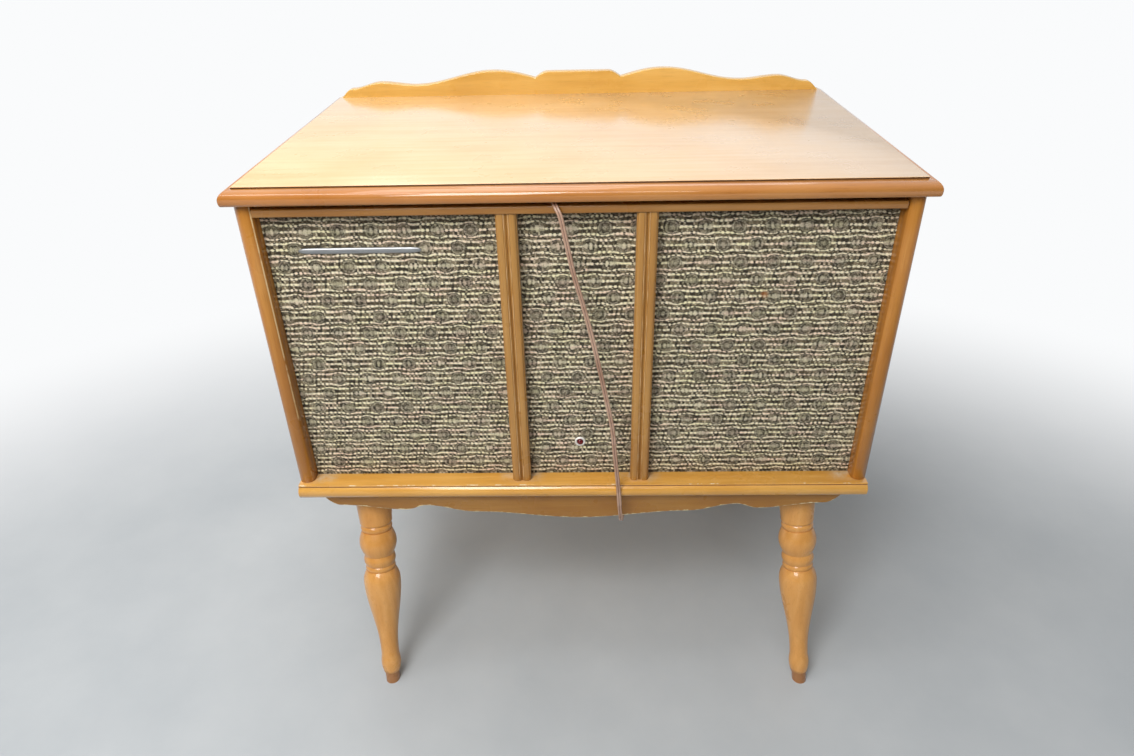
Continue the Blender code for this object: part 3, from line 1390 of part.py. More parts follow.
def build_plug(path, dark, brass):
    """Two-blade plug at the free end of the coil, lying on the motor board."""
    end = Vector(path[-1])
    along = (end - Vector(path[-2])).normalized()
    frame = Matrix.Translation(end + along * FIT) @ along.to_track_quat("X", "Z").to_matrix().to_4x4()
    half_height = end.z - BOARD_TOP - FIT
    bm = bmesh.new()
    stations = ((0.0, 0.5), (0.004, 0.8), (PLUG_LENGTH * 0.5, 1.0), (PLUG_LENGTH, 1.0))
    rings = []
    for x, share in stations:
        half = PLUG_WIDTH / 2 * share
        corner = half_height * 0.45
        ring = [
            (half, -half_height + corner),
            (half, half_height - corner),
            (half - corner, half_height),
            (-half + corner, half_height),
            (-half, half_height - corner),
            (-half, -half_height + corner),
            (-half + corner, -half_height),
            (half - corner, -half_height),
        ]
        rings.append([(x, y, z) for y, z in ring])
    loft(bm, rings)
    bm.transform(frame)
    plug = add_object("power_plug", bm, dark)
    length, width, thickness = PLUG_BLADE
    blades = []
    for side in (-1, 1):
        bm = bmesh.new()
        bmesh.ops.create_cube(bm, size=1.0)
        bmesh.ops.scale(bm, vec=(length + 0.004, thickness, width), verts=bm.verts)
        middle = (PLUG_LENGTH + length / 2 - 0.002, side * PLUG_BLADE_SPACING / 2, 0.0)
        bmesh.ops.translate(bm, vec=middle, verts=bm.verts)
        bm.transform(frame)
        blades.append(add_object("plug_blade", bm, brass))
    join(plug, *blades)


def hang_on_axis(pieces, name, place):
    """Parents pieces to an empty on their joint's axis, leaving them where they are."""
    axis = bpy.data.objects.new(name, None)
    axis.location = place
    bpy.context.scene.collection.objects.link(axis)
    for piece in pieces:
        piece.parent = axis
        piece.matrix_parent_inverse = Matrix.Translation(-Vector(place))


def main():
    clear_scene()
    maple = finish("honey maple lacquer", (0.47, 0.22, 0.07), 0.30)
    ply = finish("plywood", (0.52, 0.36, 0.20), 0.7)
    hardboard = finish("hardboard", (0.17, 0.09, 0.045), 0.8)
    cloth = finish("woven grille cloth", (0.30, 0.27, 0.18), 0.9)
    brass = finish("brass", (0.70, 0.48, 0.20), 0.35, 1.0)
    steel = finish("zinc plated steel", (0.55, 0.55, 0.54), 0.4, 1.0)
    chrome = finish("chromed steel", (0.75, 0.75, 0.75), 0.15, 1.0)
    alloy = finish("platter alloy", (0.60, 0.60, 0.58), 0.4, 1.0)
    paint = finish("deck enamel", (0.55, 0.50, 0.40), 0.4)
    rubber = finish("black rubber", (0.02, 0.02, 0.02), 0.8)
    dark = finish("brown phenolic", (0.06, 0.035, 0.02), 0.35)
    iron = finish("transformer iron", (0.05, 0.05, 0.05), 0.6, 0.5)
    paper = finish("speaker cone paper", (0.05, 0.045, 0.04), 0.9)
    nickel = finish("nickel", (0.70, 0.66, 0.60), 0.25, 1.0)
    ruby = finish("ruby glass", (0.45, 0.01, 0.02), 0.1)
    vinyl = finish("brown vinyl flex", (0.16, 0.085, 0.055), 0.5)

    build_sides(maple)
    build_front(maple, cloth, ply)
    build_back(maple, hardboard, ply)
    build_legs(maple, steel)
    lid_pieces = build_lid(maple) + build_hinges(brass) + build_stay(brass)
    hang_on_axis(lid_pieces, "lid_axis", HINGE_AXIS)
    build_speakers(paper)
    build_pilot(nickel, ruby)
    build_changer(paint, alloy, rubber, chrome, dark)
    build_controls(brass, dark, steel, iron)
    build_cord(vinyl, dark, brass)


main()
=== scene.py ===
"""Finished looks of the lift-lid stereo cabinet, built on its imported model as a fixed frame.

Units are metres. X runs to the viewer's right, Y to the back and Z up, with the origin on the floor.
"""

import math
from functools import partial

import bmesh
import bpy
import numpy as np
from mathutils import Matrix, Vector


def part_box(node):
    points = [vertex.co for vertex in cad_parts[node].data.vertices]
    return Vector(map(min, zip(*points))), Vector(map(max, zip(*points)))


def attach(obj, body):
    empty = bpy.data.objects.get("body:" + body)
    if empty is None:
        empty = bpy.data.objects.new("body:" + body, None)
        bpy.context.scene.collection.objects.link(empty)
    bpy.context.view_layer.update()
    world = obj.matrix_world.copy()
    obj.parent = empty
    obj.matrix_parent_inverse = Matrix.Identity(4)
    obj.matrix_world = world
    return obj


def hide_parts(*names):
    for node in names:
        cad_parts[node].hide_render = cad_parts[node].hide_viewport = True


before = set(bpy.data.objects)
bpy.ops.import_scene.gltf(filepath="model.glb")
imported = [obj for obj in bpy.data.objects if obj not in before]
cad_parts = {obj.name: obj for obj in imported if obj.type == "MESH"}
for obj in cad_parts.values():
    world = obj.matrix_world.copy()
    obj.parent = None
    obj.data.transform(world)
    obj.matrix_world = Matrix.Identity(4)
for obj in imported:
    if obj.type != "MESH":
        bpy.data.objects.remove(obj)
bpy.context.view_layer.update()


def box_of(node):
    """Low corner, high corner and middle of a frame node."""
    low, high = (np.array(v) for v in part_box(node))
    return low, high, (low + high) / 2


# Places and fits, most of them taken from the frame
CASE_LOW, CASE_HIGH, _ = box_of("base_board")
CLOTH_LOW, CLOTH_HIGH, _ = box_of("grille_cloth")
LID_HIGH = box_of("lid_panel")[1]
PILOT = box_of("pilot_bezel")[2]
DIVIDER_X = box_of("divider_right")[2][0]
DECK_TOP = box_of("changer_deck")[1][2]
CLOTH_FACE = CLOTH_LOW[1]
BASE_TOP = CASE_HIGH[2]
LEG_HEIGHT = CASE_LOW[2]
FRONT = -0.229
FIT = 0.0003
ON_CLOTH = 0.0001
NOSING_FILLET = 0.0025
NOSING_REACH = 0.0105
NOSING_STEP = 0.0046
STILE_JOINT = 0.3478
FOOT_X = 0.0755
HALF_BAY = 0.1350
CLOTH_STAIN = (0.2137, CLOTH_FACE, 0.5963)

# Names of the maple finishes
LID_MAPLE = "lacquered maple veneer of the lid"
GALLERY_MAPLE = "lacquered maple of the gallery"
NOSING_MAPLE = "lacquered maple of the lid nosing"
END_NOSING_MAPLE = "lacquered maple of the lid end nosings"
STILE_MAPLE = "lacquered maple of the sides"
RAIL_MAPLE = "lacquered maple of the rails"
DIVIDER_MAPLE = "lacquered maple of the dividers"
BASE_MAPLE = "lacquered maple of the base"
BASE_NOSING_MAPLE = "lacquered maple of the base nosing"
APRON_MAPLE = "lacquered maple of the apron"
LEG_MAPLE = "lacquered maple of the legs"


def linear(hex_colour):
    """An sRGB hex colour as linear red, green, blue and alpha."""
    parts = np.array([int(hex_colour[i : i + 2], 16) for i in (1, 3, 5)]) / 255
    parts = np.where(parts <= 0.04045, parts / 12.92, ((parts + 0.055) / 1.055) ** 2.4)
    return (*parts.tolist(), 1.0)


def fill(node, inputs):
    """Sets or links a node's inputs, given by name, or in a row in the order of its sockets."""
    for key, value in inputs.items() if isinstance(inputs, dict) else enumerate(inputs):
        if isinstance(value, bpy.types.NodeSocket):
            node.id_data.links.new(value, node.inputs[key])
        else:
            node.inputs[key].default_value = value


def add_node(tree, kind, inputs=(), settings=None, out=0):
    """Adds a node with its settings, colour stops and inputs, and returns an output.

    The kind may have the node's operation as a second word.
    """
    kind, _, operation = kind.partition(" ")
    node = tree.nodes.new("ShaderNode" + kind)
    if operation:
        node.operation = operation
    for key, value in (settings or {}).items():
        if key == "stops":
            ramp = node.color_ramp
            while len(ramp.elements) < len(value):
                ramp.elements.new(0.5)
            for element, (place, colour) in zip(ramp.elements, value):
                element.position = place
                element.color = linear(colour)
        else:
            setattr(node, key, value)
    fill(node, inputs)
    return node.outputs[out]


def new_material(name):
    """A new node material, what adds its nodes, its Principled shader and the place on the piece."""
    coat = bpy.data.materials.new(name)
    coat.use_nodes = True
    add = partial(add_node, coat.node_tree)
    return coat, add, coat.node_tree.nodes["Principled BSDF"], add("TexCoord", out="Object")


# Surfaces


def points_of(x, y, z):
    """Points from x, y and z arrays, spread to one grid."""
    return np.stack(np.broadcast_arrays(x, y, z), axis=-1)


def grid_quads(rows, columns, ring_rows=False, ring_columns=False):
    """Corner numbers of the quads of a rows by columns grid, which may join up along either way."""
    r = np.arange(rows if ring_rows else rows - 1)[:, None]
    c = np.arange(columns if ring_columns else columns - 1)[None, :]
    r2 = (r + 1) % rows
    c2 = (c + 1) % columns
    corners = (r * columns + c, r * columns + c2, r2 * columns + c2, r2 * columns + c)
    return np.stack([np.broadcast_to(k, (r.size, c.size)) for k in corners], axis=-1).reshape(-1, 4)


def make_piece(name, shape, coat, body, replaced=(), sharp=None, outward=True):
    """A mesh object from points and faces, which rides on a body and may take the place of frame nodes.

    Normals are turned outwards on closed shapes, and edges over the sharp angle, in degrees, stay crisp.
    """
    points, faces = shape
    mesh = bpy.data.meshes.new(name)
    mesh.from_pydata(np.asarray(points).reshape(-1, 3).tolist(), [], [list(map(int, f)) for f in faces])
    if outward:
        bm = bmesh.new()
        bm.from_mesh(mesh)
        bmesh.ops.remove_doubles(bm, verts=bm.verts, dist=1e-7)
        bmesh.ops.recalc_face_normals(bm, faces=bm.faces)
        bm.to_mesh(mesh)
        bm.free()
    mesh.shade_smooth()
    if sharp is not None:
        mesh.set_sharp_from_angle(angle=math.radians(sharp))
    mesh.materials.append(bpy.data.materials[coat])
    obj = bpy.data.objects.new(name, mesh)
    bpy.context.scene.collection.objects.link(obj)
    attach(obj, body)
    if replaced:
        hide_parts(*replaced)
    return obj


def tube(rings):
    """Points and faces of a closed tube: rings of points skinned in order, with both ends capped."""
    rings = np.asarray(rings)
    count, around = rings.shape[:2]
    faces = grid_quads(count, around, ring_columns=True).tolist()
    last = (count - 1) * around
    faces.append(list(range(around)))
    faces.append(list(range(last, last + around)))
    return rings.reshape(-1, 3), faces


def axes_along(direction):
    """A direction at unit length, and two unit vectors square to it and to each other."""
    direction = np.asarray(direction, float) / np.linalg.norm(direction)
    side = np.cross((0.0, 1.0, 0.0) if abs(direction[1]) < 0.9 else (1.0, 0.0, 0.0), direction)
    side /= np.linalg.norm(side)
    return direction, side, np.cross(direction, side)


def revolve(profile, place, direction, steps, ring=False):
    """A profile of (radius, height) turned about a direction: place + height d + radius (cos a, sin a).

    A ring's profile is a loop that stays clear of the axis, any other starts and ends on it or is capped.
    """
    direction, side, up = axes_along(direction)
    radius, height = np.asarray(profile).T
    angle = np.linspace(0, 2 * math.pi, steps, endpoint=False)
    spokes = np.cos(angle)[:, None] * side + np.sin(angle)[:, None] * up
    rings = np.asarray(place) + height[:, None, None] * direction + radius[:, None, None] * spokes
    if ring:
        return rings.reshape(-1, 3), grid_quads(len(radius), steps, ring_rows=True, ring_columns=True)
    return tube(rings)


def rounded_square(steps):
    """A superellipse of half size 1: cos and sin of the turn, each to the power 0.5 with its sign kept."""
    turn = np.linspace(0, 2 * math.pi, steps, endpoint=False)
    return [np.sign(wave) * np.abs(wave) ** 0.5 for wave in (np.cos(turn), np.sin(turn))]


def joined(parts):
    """Several meshes of (points, faces) as one."""
    points = []
    faces = []
    shift = 0
    for part_points, part_faces in parts:
        points.append(np.asarray(part_points))
        faces += [[int(k) + shift for k in f] for f in part_faces]
        shift += len(part_points)
    return np.vstack(points), faces


def set_attribute(obj, name, values):
    """Stores one number for each point of a mesh, for its material to read."""
    layer = obj.data.attributes.new(name, "FLOAT", "POINT")
    layer.data.foreach_set("value", np.asarray(values, np.float32).ravel())


# Materials, where a row of inputs for a MapRange node is value, from low, from high, to low, to high
SMOOTH = {"interpolation_type": "SMOOTHSTEP"}


def lay_marks_and_painted_light(coat, colour, *masks):
    """Lays a colour over a finish where some masks' product says: real marks, painted shade and highlights.
    """
    add = partial(add_node, coat.node_tree)
    mask = masks[0]
    for other in masks[1:]:
        mask = add("Math MULTIPLY", (mask, other))
    shader = coat.node_tree.nodes["Principled BSDF"]
    under = shader.inputs["Base Color"].links[0].from_socket
    over = add("Mix", {0: mask, 6: under, 7: linear(colour)}, {"data_type": "RGBA"}, out=2)
    fill(shader, {"Base Color": over})


def places_on(coat):
    """For a mark on a finish: what adds its nodes, the place on the piece, and that place's X, Y and Z."""
    add = partial(add_node, coat.node_tree)
    place = add("TexCoord", out="Object")
    return (add, place, *add("SeparateXYZ", (place,)).node.outputs)


def make_maple(name, grain, tones, wear=False, gloss=0.6, polish=0.06):
    """Close-grained maple under toned lacquer: even honey colour, faint figure and pores, glossy clear coat.

    Figure is about 9 mm across the grain and 160 mm along it, pores 0.8 mm across and 30 mm along. With wear,
    the piece's "edge" attribute, the distance from its rubbed edge, brings pale chips within 5 mm of it.
    """
    coat, add, shader, place = new_material(name)
    grains = []
    for across, along in ((0.009, 0.160), (0.0008, 0.030)):
        scale = [1 / across] * 3
        scale[grain] = 1 / along
        grains.append(add("Mapping", {"Vector": place, "Scale": scale}))
    streaks = {"Vector": grains[0], "Scale": 1.0, "Detail": 4.0, "Roughness": 0.5, "Distortion": 0.3}
    figure = add("TexNoise", streaks)
    pores = add("TexNoise", {"Vector": grains[1], "Scale": 1.0, "Detail": 3.0, "Roughness": 0.6})
    cloud = add("TexNoise", {"Vector": place, "Scale": 1 / 0.11, "Detail": 3.0})
    blended = add("Math ADD", (figure, cloud))
    spread = add("MapRange", (blended, 0.72, 1.28))
    wood = add("ValToRGB", (spread,), {"stops": list(zip((0.0, 0.5, 1.0), tones))})
    smear = add("TexNoise", {"Vector": place, "Scale": 1 / 0.045, "Detail": 4.0})
    rough = add("MapRange", (smear, 0.3, 0.7, 0.24, 0.38))
    bump = add("Bump", {"Height": pores, "Strength": 0.08, "Distance": 0.0003})
    fill(shader, {"Base Color": wood, "Roughness": rough, "Normal": bump, "IOR": 1.5})
    fill(shader, {"Specular IOR Level": 0.25, "Coat Weight": gloss, "Coat Roughness": polish})
    lay_marks_and_painted_light(coat, tones[3], add("MapRange", (pores, 0.45, 0.28, 0.0, 0.30)))
    if wear:
        edge = add("Attribute", settings={"attribute_name": "edge"}, out="Fac")
        flake = add("TexNoise", {"Vector": place, "Scale": 1 / 0.009, "Detail": 5.0, "Roughness": 0.65})
        near = add("MapRange", (edge, 0.0, 0.005, 0.45, -0.2))
        chance = add("Math ADD", (flake, near))
        lay_marks_and_painted_light(coat, "#E9D8A6", add("MapRange", (chance, 0.76, 0.80)))
    return coat


def paint_shade_and_soil_base(coat):
    """Painted shade in the quirk along the ledge, pale chips on the arris over it, dust round the divider
    feet.
    """
    add, place, x, y, z = places_on(coat)
    speckle = add("TexNoise", {"Vector": place, "Scale": 1 / 0.014, "Detail": 6.0, "Roughness": 0.7})
    # Painted shade on the face of the quirk under the ledge's front edge
    off_step = add("Math COMPARE", (z, BASE_TOP - NOSING_FILLET + 0.0001, 0.0005))
    front = add("Math LESS_THAN", (y, FRONT - 0.004))
    lay_marks_and_painted_light(coat, "#7A4C20", off_step, front)
    on_arris = add("Math COMPARE", (z, BASE_TOP, 0.0007))
    rubbed = add("Math COMPARE", (y, FRONT - NOSING_REACH + NOSING_STEP, 0.0009))
    flake = add("MapRange", (speckle, 0.55, 0.60))
    lay_marks_and_painted_light(coat, "#EBDDB4", on_arris, rubbed, flake)
    side = add("Math ABSOLUTE", (x,))
    from_foot = add("Math SUBTRACT", (side, FOOT_X))
    from_foot = add("Math PINGPONG", (from_foot, HALF_BAY))
    beside = add("MapRange", (from_foot, 0.034, 0.010), SMOOTH)
    behind = add("MapRange", (y, FRONT - 0.006, FRONT + 0.012), SMOOTH)
    thick = add("MapRange", (speckle, 0.35, 0.65, 0.0, 0.75))
    lay_marks_and_painted_light(coat, "#D9CDB4", beside, behind, thick)


def paint_lid_quirk_shade(coat):
    """Painted shade in the quirk between the lid's panel and its nosings."""
    add, _, _, _, z = places_on(coat)
    # Painted shade: a dark band on the panel's edge in the quirk
    lay_marks_and_painted_light(coat, "#4E2F14", add("Math COMPARE", (z, LID_HIGH[2] - 0.0018, 0.0013)))


def paint_side_shade_and_worn_highlight(coat):
    """Painted shade on a band inside the rounded front edge; a pale line along its joint, wear and painted
    highlight.
    """
    add, place, x, y, z = places_on(coat)
    side = add("Math ABSOLUTE", (x,))
    front = add("Math LESS_THAN", (y, FRONT + 0.012))
    within = add("Math LESS_THAN", (side, STILE_JOINT))
    # Painted shade on the inner band of the front edge
    lay_marks_and_painted_light(coat, "#8E5518", within, front, 0.5)
    # Pale line along the joint: partly wear, partly painted highlight, more to the left and higher up
    joint = add("Math COMPARE", (side, STILE_JOINT, 0.0005))
    patchy = add("TexNoise", {"Vector": place, "Scale": 1 / 0.030, "Detail": 4.0})
    left = add("MapRange", (x, -0.3, 0.3, 0.2, -0.3))
    high = add("MapRange", (z, 0.40, 0.55, -0.3, 0.0))
    chance = add("Math ADD", (patchy, left))
    chance = add("Math ADD", (chance, high))
    rubbed = add("MapRange", (chance, 0.50, 0.60, 0.0, 0.8))
    lay_marks_and_painted_light(coat, "#EBCF9A", joint, front, rubbed)


def paint_divider_highlights(coat):
    """Painted highlights along the two ridges between each divider's scored lines."""
    add, place, x, _, _ = places_on(coat)
    side = add("Math ABSOLUTE", (x,))
    off = add("Math SUBTRACT", (side, DIVIDER_X))
    off = add("Math ABSOLUTE", (off,))
    ridge = add("Math COMPARE", (off, 0.0025, 0.0006))
    patchy = add("TexNoise", {"Vector": place, "Scale": 1 / 0.025, "Detail": 4.0})
    # Painted highlight along each ridge, patchy
    lay_marks_and_painted_light(coat, "#DDB988", ridge, add("MapRange", (patchy, 0.35, 0.6, 0.0, 0.7)))


def darken_foot_tips(coat):
    """Foot tips darkened: a browner, uneven band at the bottom of each leg."""
    add, place, _, _, z = places_on(coat)
    uneven = add("TexNoise", {"Vector": place, "Scale": 1 / 0.006, "Detail": 3.0})
    edge = add("Math MULTIPLY_ADD", (uneven, 0.008, z))
    lay_marks_and_painted_light(coat, "#8A5A3C", add("MapRange", (edge, 0.026, 0.020, 0.0, 0.75)))


def make_grille_cloth():
    """Woven grille cloth: olive ground, cream slub weft that floats over it in beads, matt, a little hairy.

    Rows of rings lie 21 mm apart, 36.5 mm along each row and staggered. Each row has three weft lines, and
    the outer two part round the rings: b' = b (1 - 0.7 g (1 - 4 b squared)), with b the height in the row, in
    rows, and g a bump over each ring. A weaker line lies between each two. Fourteen floats lie along each
    ring's pitch, each of its own paleness and staggered from line to line, and each ring is a grey eye in a
    dark and a pale circle.
    """
    coat, add, shader, place = new_material("woven cotton grille cloth")
    row_pitch = 0.0210
    ring_pitch = 0.0365
    row_stagger = 0.571
    lines_per_row = 6.0
    floats_per_ring = 14.0
    line_stagger = 0.75
    # Place in rows and rings
    sway = add("TexNoise", {"Vector": place, "Scale": 1 / 0.016, "Detail": 3.0}, out="Color")
    swayed = add("VectorMath MULTIPLY_ADD", (sway, (0.0034, 0.0, 0.0026), place))
    bottom = (0.0, 0.0, -BASE_TOP / row_pitch)
    pitches = (1 / ring_pitch, 1.0, 1 / row_pitch)
    in_rows = add("Mapping", {"Vector": swayed, "Scale": pitches, "Location": bottom})
    u, _, v = add("SeparateXYZ", (in_rows,)).node.outputs
    row = add("Math ROUND", (v,))
    b = add("Math SUBTRACT", (v, row))
    staggered = add("Math MULTIPLY_ADD", (row, row_stagger, u))
    ring = add("Math ROUND", (staggered,))
    a = add("Math SUBTRACT", (staggered, ring))
    a = add("Math MULTIPLY", (a, ring_pitch / row_pitch))
    spot = add("CombineXYZ", (a, b))
    from_ring = add("VectorMath LENGTH", (spot,), out="Value")
    # Weft lines, parted round the rings
    beside = add("Math ABSOLUTE", (a,))
    bump_over = add("MapRange", (beside, 0.52, 0.0, 0.0, 0.7), SMOOTH)
    square = add("Math MULTIPLY", (b, b))
    room = add("Math MULTIPLY_ADD", (square, -4.0, 1.0))
    push = add("Math MULTIPLY", (bump_over, room))
    keep = add("Math SUBTRACT", (1.0, push))
    parted = add("Math MULTIPLY", (b, keep))
    phase = add("Math MULTIPLY", (parted, lines_per_row * math.pi))
    lines = add("Math COSINE", (phase,))
    double = add("Math MULTIPLY", (phase, 2.0))
    between = add("Math COSINE", (double,))
    lines = add("Math MULTIPLY_ADD", (between, 0.25, lines))
    # Floats along each line
    in_cells = add("Math MULTIPLY", (parted, lines_per_row))
    cell_number = add("Math ROUND", (in_cells,))
    line = add("Math MULTIPLY_ADD", (row, lines_per_row, cell_number))
    shifted = add("Math MULTIPLY", (line, line_stagger))
    in_beads = add("Math MULTIPLY_ADD", (u, floats_per_ring, shifted))
    bead_number = add("Math ROUND", (in_beads,))
    bead_phase = add("Math MULTIPLY", (in_beads, math.pi))
    beads = add("Math COSINE", (bead_phase,))
    which = add("CombineXYZ", (bead_number, cell_number, row))
    paleness = add("TexWhiteNoise", {"Vector": which}, out="Value")
    threads = add("Mapping", {"Vector": place, "Scale": (1 / 0.0021, 1.0, 1 / 0.0016)})
    fuzz = add("TexNoise", {"Vector": threads, "Scale": 1.0, "Detail": 2.0, "Roughness": 0.6})
    slubs = add("Mapping", {"Vector": place, "Scale": (1 / 0.022, 1.0, 1 / 0.0055)})
    slub = add("TexNoise", {"Vector": slubs, "Scale": 1.0, "Detail": 3.0, "Roughness": 0.6})
    floats = lines
    for wave, share in ((beads, 0.60), (paleness, 0.9), (fuzz, 2.7), (slub, 1.4)):
        floats = add("Math MULTIPLY_ADD", (wave, share, floats))
    weft = add("MapRange", (floats, 2.0, 4.1), SMOOTH)
    # Rings, some clearer than others
    eye = [(0.06, "#8C8C8C"), (0.16, "#101010"), (0.25, "#080808"), (0.32, "#A0A0A0"), (0.40, "#202020")]
    target = add("ValToRGB", (from_ring,), {"stops": eye})
    target = add("Math MULTIPLY_ADD", (fuzz, 1.2, target))
    target = add("Math SUBTRACT", (target, 0.62), {"use_clamp": True})
    which_ring = add("CombineXYZ", (ring, row))
    plainness = add("TexWhiteNoise", {"Vector": which_ring}, out="Value")
    clear = add("MapRange", (plainness, 0.0, 1.0, 0.3, 0.9))
    inside = add("MapRange", (from_ring, 0.42, 0.37, 0.0, clear), SMOOTH)
    weft = add("Mix", {0: inside, 2: weft, 3: target}, {"data_type": "FLOAT"})
    # Colours
    olive = [(0.1, "#2C2517"), (0.5, "#554A34"), (0.9, "#82755B")]
    ground = add("ValToRGB", (paleness,), {"stops": olive})
    shade = add("Math MULTIPLY", (inside, 0.6))
    ground = add("Mix", {0: shade, 6: ground, 7: linear("#241E12")}, {"data_type": "RGBA"}, out=2)
    tint = add("TexNoise", {"Vector": slubs, "Scale": 0.6, "Detail": 2.0})
    creams = [(0.35, "#F1E8BE"), (0.5, "#F3E8C9"), (0.65, "#F2D9BF")]
    cream = add("ValToRGB", (tint,), {"stops": creams})
    woven = add("Mix", {0: weft, 6: ground, 7: cream}, {"data_type": "RGBA"}, out=2)
    height = add("Math ADD", (weft, fuzz))
    bump = add("Bump", {"Height": height, "Strength": 0.5, "Distance": 0.0006})
    fill(shader, {"Base Color": woven, "Normal": bump, "Roughness": 0.85})
    fill(shader, {"Sheen Weight": 0.05, "Sheen Roughness": 0.5})
    away = add("VectorMath DISTANCE", (swayed, CLOTH_STAIN), out="Value")
    lay_marks_and_painted_light(coat, "#A9642A", add("MapRange", (away, 0.006, 0.002, 0.0, 0.6)))


def make_plain(name, dark, light, grain, rough, metallic=0.0, bump_height=0.0, ior=1.5):
    """A finish whose tone and roughness drift between two values over a grain size in metres."""
    coat, add, shader, place = new_material(name)
    sizes = grain if isinstance(grain, tuple) else (grain,) * 3
    scaled = add("Mapping", {"Vector": place, "Scale": [1 / s for s in sizes]})
    drift = add("TexNoise", {"Vector": scaled, "Scale": 1.0, "Detail": 5.0, "Roughness": 0.6})
    tone = add("ValToRGB", (drift,), {"stops": [(0.32, dark), (0.68, light)]})
    matt = add("MapRange", (drift, 0.3, 0.7, *rough))
    fill(shader, {"Base Color": tone, "Roughness": matt, "Metallic": metallic, "IOR": ior})
    if bump_height:
        bump = add("Bump", {"Height": drift, "Strength": 0.6, "Distance": bump_height})
        fill(shader, {"Normal": bump})
    return coat


def make_materials():
    """Every finish, named for the real material, with what it gives the eye."""
    # The lid's tones are paler than the other maple: partly the veneer's own colour, partly painted glare
    paint_lid_quirk_shade(make_maple(LID_MAPLE, 0, ("#DFB37C", "#E6BD89", "#ECC696", "#B58C56"), gloss=1.0, polish=0.17))
    make_maple(GALLERY_MAPLE, 0, ("#CB9B47", "#D5A651", "#DCB05F", "#9A722E"))
    nosing = ("#AE6C2A", "#B87735", "#C18342", "#7C4A1C")
    make_maple(NOSING_MAPLE, 0, nosing, gloss=1.0)
    make_maple(END_NOSING_MAPLE, 1, nosing, gloss=1.0)
    paint_side_shade_and_worn_highlight(make_maple(STILE_MAPLE, 2, ("#A96A22", "#B5762A", "#C0843A", "#744415"), polish=0.14))
    make_maple(RAIL_MAPLE, 0, ("#976428", "#A16E31", "#AB7A3D", "#6C421A"))
    paint_divider_highlights(make_maple(DIVIDER_MAPLE, 2, ("#A97637", "#B48240", "#BE8E4C", "#744A1E")))
    paint_shade_and_soil_base(make_maple(BASE_MAPLE, 0, ("#C8933F", "#D19E4A", "#D9A958", "#936A2A")))
    ledge = ("#CF933A", "#D89D44", "#E0A852", "#936A2A")
    paint_shade_and_soil_base(make_maple(BASE_NOSING_MAPLE, 0, ledge, gloss=1.0, polish=0.16))
    # The apron's tones are darker than the base's: painted shade under the nosing's overhang
    make_maple(APRON_MAPLE, 0, ("#986422", "#A26F2A", "#AC7B37", "#704714"), wear=True)
    darken_foot_tips(make_maple(LEG_MAPLE, 2, ("#CF8F45", "#D89A50", "#E0A55E", "#96632A")))
    make_grille_cloth()
    # Rotary-cut birch ply: pale, dry, faint long figure
    make_plain("birch plywood", "#A98558", "#C6A274", (0.05, 0.004, 0.004), (0.6, 0.75), bump_height=0.0002)
    # Pressed hardboard: dark brown, matt, fine fibre mottle
    make_plain("pressed hardboard", "#4A3524", "#65492F", 0.004, (0.7, 0.85), bump_height=0.0003)
    # Rolled brass: yellow, dulled in patches
    make_plain("rolled brass", "#A9823F", "#C9A45C", 0.015, (0.28, 0.45), 1.0)
    # Zinc-plated steel: cool grey with spangle
    make_plain("zinc plated steel", "#8E9092", "#B2B4B4", 0.008, (0.35, 0.5), 1.0)
    # Chromium plate: near mirror
    make_plain("chromium plate", "#C9CBCC", "#DADBDB", 0.03, (0.08, 0.16), 1.0)
    # Satin chromium plate of the trim bar: grey, brushed along its length
    make_plain("satin chromium plate", "#8B8D8F", "#B4B5B5", (0.02, 0.001, 0.0006), (0.38, 0.5), 1.0)
    # Turned cast aluminium: pale, soft sheen
    make_plain("cast aluminium", "#B9B9B6", "#CFCFCB", 0.004, (0.32, 0.42), 1.0)
    # Stoved enamel on pressed steel: beige, faint orange peel
    make_plain("stoved enamel", "#B7A784", "#C4B592", 0.006, (0.3, 0.4), bump_height=0.0001)
    # Moulded rubber: black, dusty
    make_plain("moulded rubber", "#1B1A19", "#2C2A28", 0.006, (0.65, 0.8), bump_height=0.0001)
    # Moulded phenolic: dark brown with a swirl, waxy gloss
    make_plain("brown phenolic", "#2A1710", "#3C2317", 0.010, (0.22, 0.34))
    # Moulded ivory plastic: warm off-white, even satin gloss
    make_plain("ivory plastic", "#CDBE9C", "#D9CCAD", 0.020, (0.28, 0.38))
    # Cream paint wiped into the knobs: matt, a little patchy
    make_plain("cream paint", "#D8CCAB", "#E6DCC0", 0.002, (0.5, 0.65))
    # Screen-printed black enamel: thin, satin
    make_plain("black enamel", "#17140F", "#241F18", 0.002, (0.4, 0.55))
    # Varnished transformer iron: black-brown laminations
    make_plain("varnished iron", "#26221E", "#38322B", (0.02, 0.02, 0.001), (0.45, 0.6), 0.6)
    # Felted cone paper: charcoal, matt, fibrous
    make_plain("felted cone paper", "#26221D", "#3A342C", 0.003, (0.85, 0.95), bump_height=0.0003)
    # Plated ring round the pilot lamp: pale, satin
    make_plain("satin nickel", "#E6E2DA", "#F4F1EB", 0.004, (0.35, 0.45), 0.2)
    # Moulded vinyl flex: brown-mauve, soft shine along its two round cores, painted shade in the groove
    # between them
    flex = make_plain("brown vinyl flex", "#9F7861", "#C4A28B", 0.05, (0.22, 0.32))
    waist = add_node(flex.node_tree, "Attribute", settings={"attribute_name": "waist"}, out="Fac")
    lay_marks_and_painted_light(flex, "#4A2E24", waist)
    # Pressed ruby glass: deep red, glossy, dark in the middle
    make_plain("ruby glass", "#3C0508", "#7C0E14", 0.004, (0.05, 0.1), ior=1.52)


